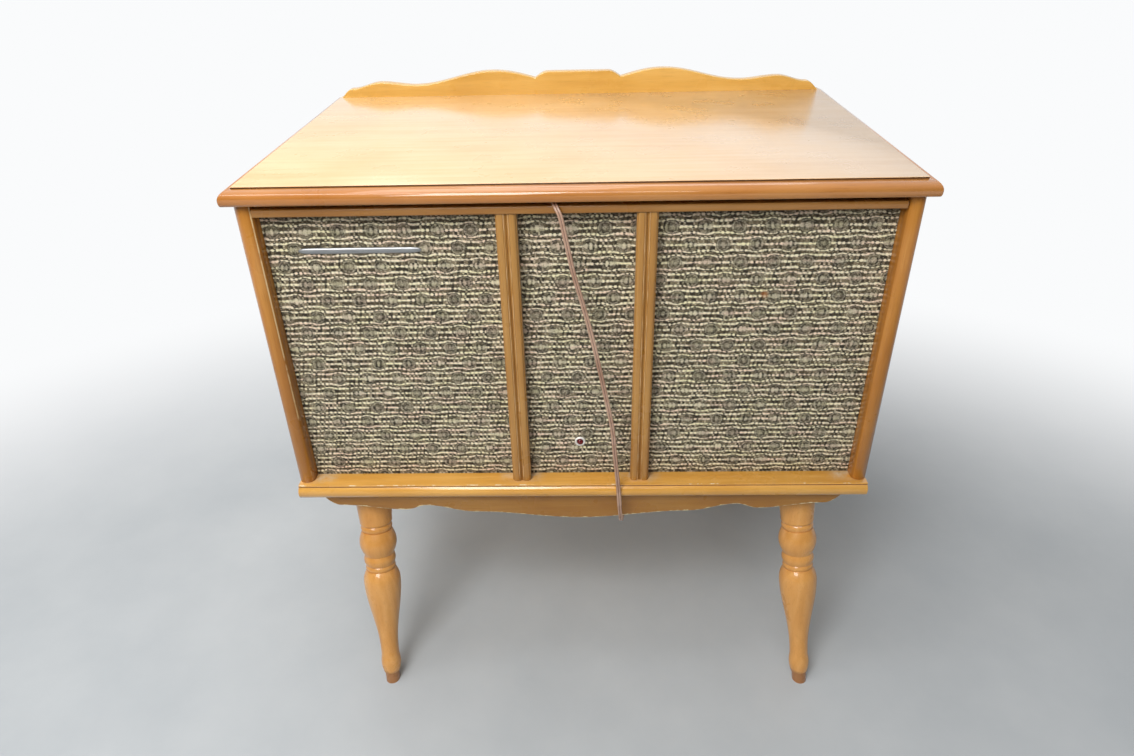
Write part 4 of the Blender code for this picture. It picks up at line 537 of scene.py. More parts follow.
# Turned legs, from the same turnings as the solids
LEG_RADIUS = 0.0254
LEG_SPLAY = math.radians(15.9)
LEG_SEAT_DROP = 0.012
LEG_PLATE_INSET = 0.060
LEG_TOP_EASE = (0.001, 0.0008)
LEG_SIDES = (  # side, plate centre inside the case's outer face, inward lean
    ("left", -1, 0.0755, math.radians(-1.3)),
    ("right", 1, 0.0725, math.radians(4.2)),
)
LEG_TURNINGS = (  # length, start radius, end radius, swell
    (0.0665, LEG_RADIUS, 0.0222, 0.0008),
    (0.0050, 0.0222, 0.0203, 0.0008),
    (0.0095, 0.0200, 0.0200, 0.0017),
    (0.0370, 0.0210, 0.0200, 0.0052),
    (0.0150, 0.0201, 0.0198, 0.0020),
    (0.0080, 0.0192, 0.0196, 0.0014),
    (0.0195, 0.0203, 0.0259, 0.0016),
)
LEG_FOOT = (
    (0.0280, 0.0127, 0.0118, 0.0018),
    (0.0225, 0.0104, 0.0098, 0.0),
)
LEG_WAIST = 0.008


def leg_profile(length):
    """(radius, distance down) of a turned leg.

    Each turning runs straight between its end radii plus a half-sine swell, the taper follows a half cosine.
    """
    t = np.linspace(0, 1, 15)
    radii = [[0.0, LEG_RADIUS - LEG_TOP_EASE[0]]]
    downs = [[0.0, 0.0]]
    down = 0.0
    for rows in (LEG_TURNINGS, LEG_FOOT):
        for span, start, end, swell in rows:
            radii.append(start + (end - start) * t + swell * np.sin(math.pi * t))
            downs.append(down + np.maximum(span * t, LEG_TOP_EASE[1] if down == 0.0 else 0.0))
            down += span
        if rows is LEG_TURNINGS:
            thick = LEG_TURNINGS[-1][2]
            thin = LEG_FOOT[0][1]
            foot_start = length - sum(row[0] for row in LEG_FOOT)
            long_t = np.linspace(0, 1, 24)[1:]
            radii.append(thick + (thin - thick) * (1 - np.cos(math.pi * long_t**0.9)) / 2)
            downs.append(down + (foot_start - LEG_WAIST - down) * long_t)
            down = foot_start
    return np.concatenate([*radii, [0.0]]), np.concatenate([*downs, [down]])


def build_legs():
    """Four turned legs. A point below the floor slides up the leg's axis to it, which levels the foot."""
    for side_name, side, inset, lean in LEG_SIDES:
        for end_name, end in (("front", -1), ("rear", 1)):
            down = np.array((side * math.tan(lean), end * math.tan(LEG_SPLAY), -1.0))
            down /= np.linalg.norm(down)
            under = np.array((side * (CASE_HIGH[0] - inset), end * (-FRONT - LEG_PLATE_INSET), LEG_HEIGHT))
            seat = under + down * (LEG_SEAT_DROP / -down[2])
            reach = (seat[2] + LEG_RADIUS * math.tan(LEG_SPLAY)) / -down[2]
            points, faces = revolve(np.stack(leg_profile(reach), axis=1), seat, down, 56)
            low = np.minimum(points[:, 2], 0.0)
            points = points - low[:, None] / down[2] * down
            name = f"leg_{end_name}_{side_name}"
            make_piece("turned_" + name, (points, faces), LEG_MAPLE, "cabinet", [name], sharp=38)


# Mains cord, along the same route as its solids
CORD_WIDTH = 0.0056
CORD_THICKNESS = 0.0029
CORD_EXIT = (0.100, 0.2536, 0.377)
COIL_CENTRE = (0.008, -0.145)
COIL_RADIUS = 0.0335
COIL_TURNS = 2.25
COIL_POINTS_PER_TURN = 48
COIL_RISE = 0.0035
COIL_TAIL = 0.030
CORD_REST = 0.56675
TIE_ANGLE = math.radians(250)
TIE_HALF_LENGTH = 0.0022
TIE_THICKNESS = 0.0003
TIE_ROOM = (0.0001, 0.0006, 0.0007)  # under, over, beside
CORD_ROUTE = (
    (0.1, 0.264, 0.3765), (0.1, 0.2745, 0.3715), (0.0998, 0.28, 0.361), (0.0995, 0.2795, 0.348),
    (0.0985, 0.272, 0.32), (0.0965, 0.256, 0.29), (0.094, 0.235, 0.269), (0.09, 0.195, 0.246),
    (0.085, 0.14, 0.23), (0.0785, 0.075, 0.2215), (0.072, 0.005, 0.2205), (0.066, -0.065, 0.227),
    (0.0612, -0.13, 0.241), (0.058, -0.178, 0.257), (0.056, -0.206, 0.269),
    (0.0545, -0.221, 0.2735), (0.0532, -0.231, 0.279), (0.052, -0.2372, 0.289),
    (0.0505, -0.241, 0.306), (0.048, -0.242, 0.342), (0.043, -0.2412, 0.395),
    (0.0388, -0.2408, 0.438), (0.0235, -0.24, 0.519), (0.014, -0.2398, 0.564),
    (0.005, -0.2395, 0.601), (-0.004, -0.239, 0.635), (-0.011, -0.238, 0.67),
    (-0.0165, -0.2366, 0.6975), (-0.02, -0.234, 0.706), (-0.0232, -0.2285, 0.7108),
    (-0.0252, -0.22, 0.7118), (-0.0255, -0.197, 0.7114), (-0.0255, -0.1895, 0.7065),
    (-0.0255, -0.1858, 0.6965), (-0.0255, -0.1855, 0.63), (-0.0255, -0.1855, 0.583),
    (-0.0255, -0.1822, 0.573), (-0.0255, -0.1745, 0.568),
)


def smooth_route(points, steps):
    """A Catmull-Rom curve through the points: each span is a cubic of its four nearest points."""
    fixed = np.array(points)
    padded = np.vstack([2 * fixed[0] - fixed[1], fixed, 2 * fixed[-1] - fixed[-2]])
    p0, p1, p2, p3 = (padded[k : len(padded) - 3 + k, None, :] for k in range(4))
    t = np.linspace(0, 1, steps, endpoint=False)[None, :, None]
    bend = (2 * p0 - 5 * p1 + 4 * p2 - p3) * t**2 + (3 * p1 - p0 - 3 * p2 + p3) * t**3
    curve = p1 + ((p2 - p0) * t + bend) / 2
    return np.vstack([curve.reshape(-1, 3), fixed[-1]])


def coil_route():
    """The stored coil: a helix that climbs one flex thickness and a gap each turn, then a straight tail."""
    turn = np.arange(round(COIL_TURNS * COIL_POINTS_PER_TURN) + 1) / COIL_POINTS_PER_TURN
    angle = 2 * math.pi * turn
    outward = points_of(-np.cos(angle), np.sin(angle), 0.0)
    helix = COIL_RADIUS * outward + points_of(*COIL_CENTRE, CORD_REST + COIL_RISE * turn)
    onward = np.array((math.sin(angle[-1]), math.cos(angle[-1]), 0.0))
    tail = helix[-1] + COIL_TAIL * np.linspace(0, 1, 8)[1:, None] * onward
    broad = np.vstack([-outward, np.broadcast_to(-outward[-1], tail.shape)])
    return np.vstack([helix, tail]), broad


def build_cord():
    """Flat twin flex: two round cores side by side, their outline carried along the route."""
    stored, stored_broad = coil_route()
    lead_in = stored[0] - (0.0, CORD_WIDTH, 0.0)
    free = smooth_route([CORD_EXIT, *CORD_ROUTE, lead_in], 6)
    path = np.vstack([free, stored])
    broad = np.vstack([np.broadcast_to((1.0, 0.0, 0.0), free.shape), stored_broad])
    along = np.gradient(path, axis=0)
    along /= np.linalg.norm(along, axis=1, keepdims=True)
    across = broad - along * np.sum(broad * along, axis=1, keepdims=True)
    across /= np.linalg.norm(across, axis=1, keepdims=True)
    upright = np.cross(along, across)
    core = CORD_THICKNESS / 2
    offset = CORD_WIDTH / 2 - core
    waist = math.acos(-offset / core)
    half_turn = np.linspace(-waist, waist, 11)
    lobe = np.stack((offset + core * np.cos(half_turn), core * np.sin(half_turn)), axis=1)
    section = np.vstack([lobe, -lobe[1:-1]])
    rings = path[:, None, :] + across[:, None, :] * section[:, :1] + upright[:, None, :] * section[:, 1:]
    shape = tube(rings)
    solids = ("power_cord", "cord_coil")
    cord = make_piece("mains_cord", shape, "brown vinyl flex", "cabinet", solids, outward=False)
    # The waist between the two cores takes the painted shade of the groove
    between = np.abs(section[:, 0]) < 0.25 * offset
    set_attribute(cord, "waist", np.broadcast_to(between, (len(path), len(section))))
    tie = build_cord_tie()


def build_cord_tie():
    """A moulded tie round the coil: a band whose section is a superellipse round the stacked turns."""
    outward = np.array((-math.cos(TIE_ANGLE), math.sin(TIE_ANGLE), 0.0))
    tangent = np.array((math.sin(TIE_ANGLE), math.cos(TIE_ANGLE), 0.0))
    low = CORD_REST - CORD_THICKNESS / 2 - TIE_ROOM[0]
    high = CORD_REST + 2 * COIL_RISE + CORD_THICKNESS / 2 + TIE_ROOM[1]
    middle = np.array((*COIL_CENTRE, (low + high) / 2)) + COIL_RADIUS * outward
    half_width = CORD_WIDTH / 2 + TIE_ROOM[2]
    half_height = (high - low) / 2
    across, up = rounded_square(32)
    rings = []
    for end, thick in ((-1, 0.0), (-1, TIE_THICKNESS), (1, TIE_THICKNESS), (1, 0.0)):
        ring = middle + tangent * (end * TIE_HALF_LENGTH) + (across * (half_width + thick))[:, None] * outward
        rings.append(ring + (up * (half_height + thick))[:, None] * np.array((0.0, 0.0, 1.0)))
    shape = (np.array(rings), grid_quads(4, 32, ring_rows=True, ring_columns=True))
    return make_piece("cord_tie", shape, "moulded rubber", "cabinet", sharp=40)


# Grille cloth
CLOTH_COLUMNS = 342
CLOTH_ROWS = 182
CLOTH_DRAW = 0.0004
DRAW_WIDTH = 0.190
PILOT_HOLE = 0.0054
PILOT_CUT = 0.0052


def build_grille_cloth():
    """Stretched cloth: a flat grid, drawn in by up to 0.4 mm in shallow waves, with a round pilot hole.

    The draw is 0.4 mm times a half sine over the height, times a row of half sines of 190 mm along x.
    """
    x = np.linspace(CLOTH_LOW[0], CLOTH_HIGH[0], CLOTH_COLUMNS)
    z = np.linspace(CLOTH_LOW[2], CLOTH_HIGH[2], CLOTH_ROWS)[:, None]
    size = CLOTH_HIGH - CLOTH_LOW
    up = (z - CLOTH_LOW[2]) / size[2]
    y = CLOTH_FACE + CLOTH_DRAW * np.sin(math.pi * up) * np.abs(np.sin(math.pi * x / DRAW_WIDTH))
    flat = points_of(x, y, z).reshape(-1, 3)
    faces = grid_quads(CLOTH_ROWS, CLOTH_COLUMNS)
    away = np.hypot(flat[:, 0], flat[:, 2] - PILOT[2])
    outside = away[faces].mean(axis=1) > PILOT_CUT
    kept = faces[outside]
    used = np.unique(kept)
    rim = np.intersect1d(np.unique(faces[~outside]), used)
    spread = PILOT_HOLE / np.maximum(away[rim], 1e-6)
    flat[rim, 0] *= spread
    flat[rim, 2] = PILOT[2] + (flat[rim, 2] - PILOT[2]) * spread
    renumber = np.zeros(len(flat), int)
    renumber[used] = np.arange(len(used))
    shape = (flat[used], renumber[kept])
    finish = "woven cotton grille cloth"
    node = "grille_cloth"
    cloth = make_piece("stretched_grille_cloth", shape, finish, "cabinet", [node], outward=False)


# Mouldings. Scalloped edges have stations of inset at the ends or x in the middle, height and bend
DIVIDER_CROWN = 0.0034
DIVIDER_BEADS = (-0.485, 0.485)
DIVIDER_BEAD_WIDTH = 0.47
DIVIDER_SCORES = (-0.90, -0.27, -0.13, 0.13, 0.27, 0.90)
SCORE_DEPTH = 0.0009
SCORE_WIDTH = 0.026
GALLERY_INSET = 0.004
GALLERY_ENDS = ((0.0, 0.0, "L"), (0.0160, 0.0120, "C"), (0.0600, 0.0206, "S"), (0.1140, 0.0160, "S"))
GALLERY_MIDDLE = ((0.1270, 0.0343, "S"), (0.0640, 0.0232, "J"), (0.0450, 0.0320, "C"), (0.0, 0.0320, "L"))
APRON_INSET = 0.020
APRON_ENDS = ((0.0, 0.0, "L"), (0.0270, 0.0220, "C"), (0.1130, 0.0303, "S"), (0.1400, 0.0232, "S"))
APRON_ENDS += ((0.2050, 0.0345, "S"),)
APRON_MIDDLE = ((0.0, 0.0453, "S"),)
SCALLOP_EASE = 0.0016
SCALLOP_LEAST = 0.0004


def build_dividers():
    """Reeded uprights: two broad flat-topped beads side by side, scored with fine lines near the middle.

    A bead of half width w and crown c stands c (1 - |t / w| cubed) to the power 0.5 above the ground, less a
    score of 0.9 mm where its distance from a score line is small.
    """
    s = np.linspace(-1, 1, 241)
    rise = np.zeros_like(s)
    for centre in DIVIDER_BEADS:
        inside = np.maximum(1 - np.abs((s - centre) / DIVIDER_BEAD_WIDTH) ** 3, 0.0)
        rise = np.maximum(rise, DIVIDER_CROWN * np.sqrt(inside))
    for line in DIVIDER_SCORES:
        rise -= SCORE_DEPTH * np.exp(-(((s - line) / SCORE_WIDTH) ** 2))
    for name in ("divider_left", "divider_right"):
        low, high, middle = box_of(name)
        half = (high[0] - low[0]) / 2
        x = np.concatenate([middle[0] + half * s, [middle[0] + half, middle[0] - half]])
        y = np.concatenate([low[1] + DIVIDER_CROWN - np.maximum(rise, 0.0), [high[1], high[1]]])
        rings = points_of(x, y, np.linspace(low[2], high[2], 12)[:, None])
        make_piece("reeded_" + name, tube(rings), DIVIDER_MAPLE, "cabinet", [name], sharp=50)


def scalloped_edge(stations, steps):
    """Half an edge through stations of (x, height, bend), from its end to the middle, then its mirror image.

    S is flat at both ends of a span, J flat where it starts, C flat where it ends, L straight.
    """
    t = np.linspace(0, 1, steps + 1)[1:]
    shares = {
        "S": (1 - np.cos(math.pi * t)) / 2,
        "J": 1 - np.cos(math.pi * t / 2),
        "C": np.sin(math.pi * t / 2),
        "L": t,
    }
    places = [[stations[0][0]]]
    heights = [[stations[0][1]]]
    for (x0, h0, _), (x1, h1, bend) in zip(stations, stations[1:]):
        places.append(x0 + (x1 - x0) * t)
        heights.append(h0 + (h1 - h0) * shares[bend])
    x = np.concatenate(places)
    h = np.concatenate(heights)
    return np.concatenate([x, -x[-2::-1]]), np.concatenate([h, h[-2::-1]])


def build_scalloped(name, node, end, ends, middle, flat, up, coat, body):
    """A board with one scalloped edge: all along it, a loop up its front, round its eased edge and down.

    The height of the loop follows the edge, and the edge is rounded by 1.6 mm, less where the board is low.
    """
    low, high, _ = box_of(node)
    stations = [(end - inset, height, bend) for inset, height, bend in ends]
    x, height = scalloped_edge([*stations, *middle], 14)
    height = np.maximum(height, SCALLOP_LEAST)[:, None]
    ease = np.minimum(SCALLOP_EASE, 0.4 * height)
    rise = np.linspace(0, 1, 9)[None, :] * (height - ease)
    turn = np.linspace(0, math.pi / 2, 7)[None, 1:]
    arc_in = ease * (1 - np.cos(turn))
    arc_up = height - ease + ease * np.sin(turn)
    y = np.hstack([low[1] + 0 * rise, low[1] + arc_in, (high[1] - arc_in)[:, ::-1], high[1] + 0 * rise])
    z = np.hstack([rise, arc_up, arc_up[:, ::-1], rise[:, ::-1]])
    shape = tube(points_of(x[:, None], y, flat + up * z))
    board = make_piece(name, shape, coat, body, [node], sharp=50)
    corners = np.array([v.co for v in board.data.vertices])
    edge = np.interp(corners[:, 0], x[::-1], height[::-1, 0]) - up * (corners[:, 2] - flat)
    set_attribute(board, "edge", edge)


def build_apron_and_gallery():
    """The scalloped boards under the ledge and along the back of the lid."""
    end = CASE_HIGH[0] - APRON_INSET
    edge = (end, APRON_ENDS, APRON_MIDDLE, LEG_HEIGHT, -1)
    build_scalloped("scalloped_apron", "front_apron", *edge, APRON_MAPLE, "cabinet")
    end = LID_HIGH[0] - GALLERY_INSET
    edge = (end, GALLERY_ENDS, GALLERY_MIDDLE, LID_HIGH[2], 1)
    build_scalloped("scalloped_gallery", "lid_gallery", *edge, GALLERY_MAPLE, "lid")


# Record changer and controls
UP = (0, 0, 1)
PLATTER_AT = (-0.175, 0.045, 0.0)
PLATTER_RADIUS = 0.127
PLATTER_EDGE = 0.002
PLATTER_TOP = DECK_TOP + 0.026
PLATTER_PLATE = 0.003
HUB_RADIUS = 0.0141
HUB_BOTTOM = DECK_TOP + 0.0033
RIM_BOTTOM = DECK_TOP + 0.006
RIM_INNER = 0.119
RIM_LINES = (0.007, 0.012)
RIM_LINE_WIDTH = 0.0006
RIM_LINE_DEPTH = 0.0007
SPINDLE_BORE = 0.0041
MAT_TOP = PLATTER_TOP + 0.0028
MAT_RADIUS = PLATTER_RADIUS - 0.003
MAT_EDGE = 0.0005
MAT_GROOVES = ((0.114, 0.090), (0.066, 0.042))
RIB_PITCH = 0.003
RIB_HALF_DEPTH = 0.0004
ARM_PIVOT = np.array((-0.020, 0.150, DECK_TOP + 0.046))
ARM_LENGTH = 0.205
ARM_BOTTOM = -0.0055
ARM_SPANS = ((0.0340, 0.0280, 9), (0.0280, -0.1600, 30), (-0.1600, -0.2110, 40))  # from, to, sections
CARTRIDGE_HALF = (0.0058, 0.0102)
CARTRIDGE_BACK = 0.0075
CARTRIDGE_TAPER = 0.86
CARTRIDGE_TOP = -0.0035
CARTRIDGE_OFF_MAT = 0.0045
STYLUS_OFF_MAT = 0.0022
LIFT_HALF = (0.0030, 0.0006)
LIFT_START = (0.0080, 0.0040, CARTRIDGE_TOP)
LIFT_REACH = (0.0110, 0.0060)
LIFT_BEND = 1.2
ARM_SECTIONS = np.array(
    (  # along, half width, top
        (0.034, 0.003, 0.0035), (0.0325, 0.0043, 0.005), (0.028, 0.0045, 0.0055),
        (0.0, 0.0045, 0.0055), (-0.1, 0.0038, 0.0046), (-0.166, 0.0033, 0.0036),
        (-0.182, 0.0086, 0.0038), (-0.19, 0.0094, 0.004), (-0.204, 0.0088, 0.003),
        (-0.2095, 0.008, 0.0008), (-0.211, 0.0066, -0.0018),
    )
)
PIN_PROFILE = ((0.0, -0.0087), (0.0015, -0.0087), (0.0015, 0.0087), (0.0, 0.0087))
STYLUS_PROFILE = ((0.0, 0.0030), (0.0011, 0.0030), (0.0004, 0.0003), (0.0, 0.0))
KNOBS = (("volume", -150.0), ("balance", 0.0), ("tone", 0.0))
KNOB_HEIGHT = 0.017
KNOB_STEM = 0.003
KNOB_FLUTES = 24
FLUTE_DEPTH = 0.0006
POINTER = (0.0030, 0.0108, 0.0005, 0.0160, 0.01675)  # start, end, half width, low, high
DIAL_LIMIT = 150
DIAL_STEP = 30
DIAL_START = 0.0178
DIAL_LONG = 0.0215
DIAL_SHORT = 0.0203
DIAL_SECTION = (0.0003, -0.0002, 0.00012)  # half width, low, high
KNOB_PROFILE = np.array(
    (  # radius, height, flute share
        (0.015, 0.0, 0.0), (0.015, 0.0026, 0.0), (0.0146, 0.0034, 0.0), (0.0139, 0.004, 0.0),
        (0.0137, 0.0046, 0.3), (0.0136, 0.0054, 1.0), (0.0131, 0.01, 1.0), (0.0127, 0.0148, 1.0),
        (0.0125, 0.0156, 0.5), (0.0121, 0.0165, 0.0), (0.0114, 0.017, 0.0), (0.0106, 0.0168, 0.0),
        (0.0092, 0.0164, 0.0), (0.005, 0.0163, 0.0), (0.0, 0.0163, 0.0),
    )
)


def build_platter():
    """Cast platter and its rubber mat, both profiles turned about the spindle.

    The platter's top edge is a quarter round and its rim has two turned lines. The mat's two bands have ribs
    3 mm apart, each rib a cosine.
    """
    turn = np.linspace(0, math.pi / 2, 7)
    under = PLATTER_TOP - PLATTER_PLATE
    edge_radius = PLATTER_RADIUS - PLATTER_EDGE * (1 - np.sin(turn))
    edge = np.stack((edge_radius, PLATTER_TOP - PLATTER_EDGE * (1 - np.cos(turn))), axis=1)
    fall = np.linspace(under, RIM_BOTTOM, 60)
    lines = sum(np.exp(-(((fall - PLATTER_TOP + drop) / RIM_LINE_WIDTH) ** 2)) for drop in RIM_LINES)
    wall = np.stack((PLATTER_RADIUS - RIM_LINE_DEPTH * lines, fall), axis=1)
    inside = [(RIM_INNER, RIM_BOTTOM), (RIM_INNER, under), (HUB_RADIUS, under)]
    inside += [(HUB_RADIUS, HUB_BOTTOM), (SPINDLE_BORE, HUB_BOTTOM), (SPINDLE_BORE, PLATTER_TOP)]
    shape = revolve(np.vstack([edge, wall, inside]), PLATTER_AT, UP, 160, ring=True)
    make_piece("turned_platter", shape, "cast aluminium", "turntable", ["platter"], sharp=40)
    under = PLATTER_TOP + FIT
    bands = [[(MAT_RADIUS, under), (MAT_RADIUS, MAT_TOP - MAT_EDGE), (MAT_RADIUS - MAT_EDGE, MAT_TOP)]]
    for start, end in MAT_GROOVES:
        radius = np.linspace(start, end, 97)
        ribs = MAT_TOP - RIB_HALF_DEPTH * (1 - np.cos(2 * math.pi * (start - radius) / RIB_PITCH))
        bands.append(np.stack((radius, ribs), axis=1))
    bands.append([(SPINDLE_BORE, MAT_TOP), (SPINDLE_BORE, under)])
    shape = revolve(np.vstack(bands), PLATTER_AT, UP, 112, ring=True)
    mat = ["platter_mat"]
    make_piece("ribbed_platter_mat", shape, "moulded rubber", "turntable", mat, sharp=60)


def build_tonearm():
    """Moulded tone arm: a rounded box section, with its pin, cartridge, stylus and finger lift.

    The section is a superellipse times a half width and half height, which follow a table along the arm. The
    lift curves out as a sine and up as a square.
    """
    x, y, z = ARM_PIVOT
    *shaft, head = (np.linspace(*span) for span in ARM_SPANS)
    along = np.concatenate([*(places[:-1] for places in shaft), head])[:, None]
    half_width, top = (np.interp(-along, -ARM_SECTIONS[:, 0], ARM_SECTIONS[:, k]) for k in (1, 2))
    across, up = rounded_square(40)
    level = z + (top + ARM_BOTTOM) / 2 + (top - ARM_BOTTOM) / 2 * up
    arm = points_of(x + half_width * across, y + along, level)
    pin = revolve(PIN_PROFILE, ARM_PIVOT, (1, 0, 0), 20)
    stylus_y = y - ARM_LENGTH
    level = np.linspace(MAT_TOP + CARTRIDGE_OFF_MAT, z + CARTRIDGE_TOP, 6)[:, None]
    taper = np.linspace(CARTRIDGE_TAPER, 1.0, 6)[:, None]
    block_y = stylus_y + CARTRIDGE_BACK + CARTRIDGE_HALF[1] * up * taper
    block = points_of(x + CARTRIDGE_HALF[0] * across * taper, block_y, level)
    stylus = revolve(STYLUS_PROFILE, (x, stylus_y, MAT_TOP + STYLUS_OFF_MAT), UP, 16)
    reach = np.linspace(0, 1, 14)[:, None]
    lift_x = x + LIFT_START[0] + LIFT_REACH[0] * np.sin(reach * LIFT_BEND)
    lift_y = stylus_y + LIFT_START[1] + LIFT_HALF[0] * across
    lift_z = z + LIFT_START[2] + LIFT_REACH[1] * reach**2 + LIFT_HALF[1] * up
    lift = points_of(lift_x, lift_y, lift_z)
    shape = joined([tube(arm), pin, tube(block), stylus, tube(lift)])
    make_piece("shaped_tonearm", shape, "ivory plastic", "arm", ["tonearm"], sharp=40)


def bar(middle, way, start, end, half_width, low, high):
    """A straight bar on a spoke: from one distance to another from the middle, between two heights."""
    spoke = np.array((math.cos(way), math.sin(way), 0.0))
    edge = half_width * np.array((-math.sin(way), math.cos(way), 0.0))
    corners = np.array((spoke * start - edge, spoke * end - edge, spoke * end + edge, spoke * start + edge))
    rings = np.array([corners + (0, 0, z) for z in (low, high)]) + np.asarray(middle)
    return tube(rings)


def build_knobs():
    """Fluted control knobs with a cream pointer line, and the marks round them on the panel.

    The radius is the profile's less 0.6 mm times the half cosine of 24 flutes, where the profile is fluted.
    """
    angle = np.linspace(0, 2 * math.pi, 192, endpoint=False)
    flute = 0.5 - 0.5 * np.cos(KNOB_FLUTES * angle)
    radius = KNOB_PROFILE[:, :1] - FLUTE_DEPTH * KNOB_PROFILE[:, 2:] * flute
    turned = points_of(radius * np.cos(angle), radius * np.sin(angle), KNOB_PROFILE[:, 1:2])
    marks = []
    for name, rest_turn in KNOBS:
        node = "knob_" + name
        low, high, middle = box_of(node)
        x, y = middle[:2]
        bottom = high[2] - KNOB_HEIGHT
        middle = np.array((x, y, bottom))
        stem = [(0.0, low[2]), (KNOB_STEM, low[2]), (KNOB_STEM, bottom)]
        shape = joined([tube(turned + middle), revolve(stem, (x, y, 0.0), UP, 24)])
        make_piece("fluted_" + node, shape, "brown phenolic", name, [node], sharp=40)
        way = math.radians(90 - rest_turn)
        make_piece("pointer_" + name, bar(middle, way, *POINTER), "cream paint", name, sharp=40)
        for turn in range(DIAL_LIMIT, -DIAL_LIMIT - 1, -DIAL_STEP):
            way = math.radians(90 + turn)
            end = DIAL_LONG if turn % DIAL_LIMIT == 0 else DIAL_SHORT
            marks.append(bar((x, y, bottom - FIT), way, DIAL_START, end, *DIAL_SECTION))
    make_piece("dial_marks", joined(marks), "black enamel", "cabinet", sharp=40)


# Trim on the cloth
TRIM_AT = (-0.2415, 0.6545)
TRIM_HALF_LENGTH = 0.0690
TRIM_HALF_HEIGHT = 0.0036
TRIM_DEPTH = 0.0022
WASHER_PROFILE = (
    (0.0043, 0.0), (0.0068, 0.0), (0.0068, 0.0007), (0.0065, 0.0011), (0.0056, 0.0014),
    (0.0043, 0.0012),
)


def build_trim_bar():
    """A plain plated bar on the left bay: a half-round section that closes in a round at each end.

    Half height and depth follow (1 - s to the power 14) to the power 0.5 along the bar.
    """
    s = np.sin(np.linspace(-math.pi / 2, math.pi / 2, 81))[:, None]
    taper = np.sqrt(1 - s**14)
    turn = np.linspace(0, 2 * math.pi, 28, endpoint=False)
    rings = points_of(
        TRIM_AT[0] + TRIM_HALF_LENGTH * s,
        CLOTH_FACE - ON_CLOTH - TRIM_DEPTH * taper * np.maximum(np.sin(turn), 0.0) ** 0.8,
        TRIM_AT[1] + TRIM_HALF_HEIGHT * taper * np.cos(turn),
    )
    make_piece("trim_bar", tube(rings), "satin chromium plate", "cabinet", sharp=60)


def build_pilot_washer():
    """A pale pressed washer round the pilot jewel: a flat ring with a rolled edge, its profile turned."""
    middle = (PILOT[0], CLOTH_FACE - ON_CLOTH, PILOT[2])
    shape = revolve(WASHER_PROFILE, middle, (0, -1, 0), 48, ring=True)
    make_piece("pilot_washer", shape, "satin nickel", "cabinet", sharp=50)


# Screws
BRASS = ("rolled brass", "brass")
STEEL = ("zinc plated steel", "steel")
SLOT_HALF = 0.15
SLOT_FLOOR = 0.45
SLOT_TURN = 2.4
LEAF_THICKNESS = 0.0015
LEAF_SCREWS = (-0.02, 0.0, 0.02)
LEAF_SCREW_Z = {"case": 0.7035, "lid": 0.7247}
PLATE_INSET = 0.007
PLATE_DROP = 0.003
DECK_INSET = 0.013
BACK_INSET = 0.009
BACK_SCREW_X = 0.336
BACK_SCREW_Z = (0.450, 0.560)
STAY_SCREWS = (0.007, 0.022)


def screw_heads(name, places, direction, radius, rise, metal, body):
    """Slotted round heads: discs mapped from a square grid, x = u sqrt(1 - v v / 2), y = v sqrt(1 - u u / 2).

    The height is rise sqrt(1 - r r), cut to 0.45 of the rise between the walls of the slot. The underside
    closes on its middle point.
    """
    u, v = np.meshgrid(np.linspace(-1, 1, 9), (-1.0, -0.7, -0.4, -0.16, -0.14, 0.14, 0.16, 0.4, 0.7, 1.0))
    x = u * np.sqrt(1 - v**2 / 2)
    y = v * np.sqrt(1 - u**2 / 2)
    height = rise * np.sqrt(np.maximum(1 - x**2 - y**2, 0.0))
    height = np.where(np.abs(v) < SLOT_HALF, np.minimum(height, SLOT_FLOOR * rise), height)
    number = np.arange(x.size).reshape(x.shape)
    rim = np.concatenate([number[0], number[1:, -1], number[-1, -2::-1], number[-2:0:-1, 0]])
    underside = np.column_stack([rim, np.roll(rim, -1), np.full(rim.size, x.size)])
    head_faces = grid_quads(*x.shape).tolist() + underside.tolist()
    direction, side, up = axes_along(direction)
    heads = []
    for k, place in enumerate(places):
        along = math.cos(SLOT_TURN * k) * side + math.sin(SLOT_TURN * k) * up
        across = np.cross(direction, along)
        points = radius * x[..., None] * along + radius * y[..., None] * across
        points += height[..., None] * direction
        heads.append((np.asarray(place) + np.vstack([points.reshape(-1, 3), np.zeros(3)]), head_faces))
    coat, slot = metal
    make_piece(name, joined(heads), coat, body, sharp=35)


def inset_corners(node, inset, drop=0.0):
    """Four places set in from the corners of a plate, at its top or a drop below it."""
    low, high, _ = box_of(node)
    z = high[2] - drop
    return [(x, y, z) for x in (low[0] + inset, high[0] - inset) for y in (low[1] + inset, high[1] - inset)]


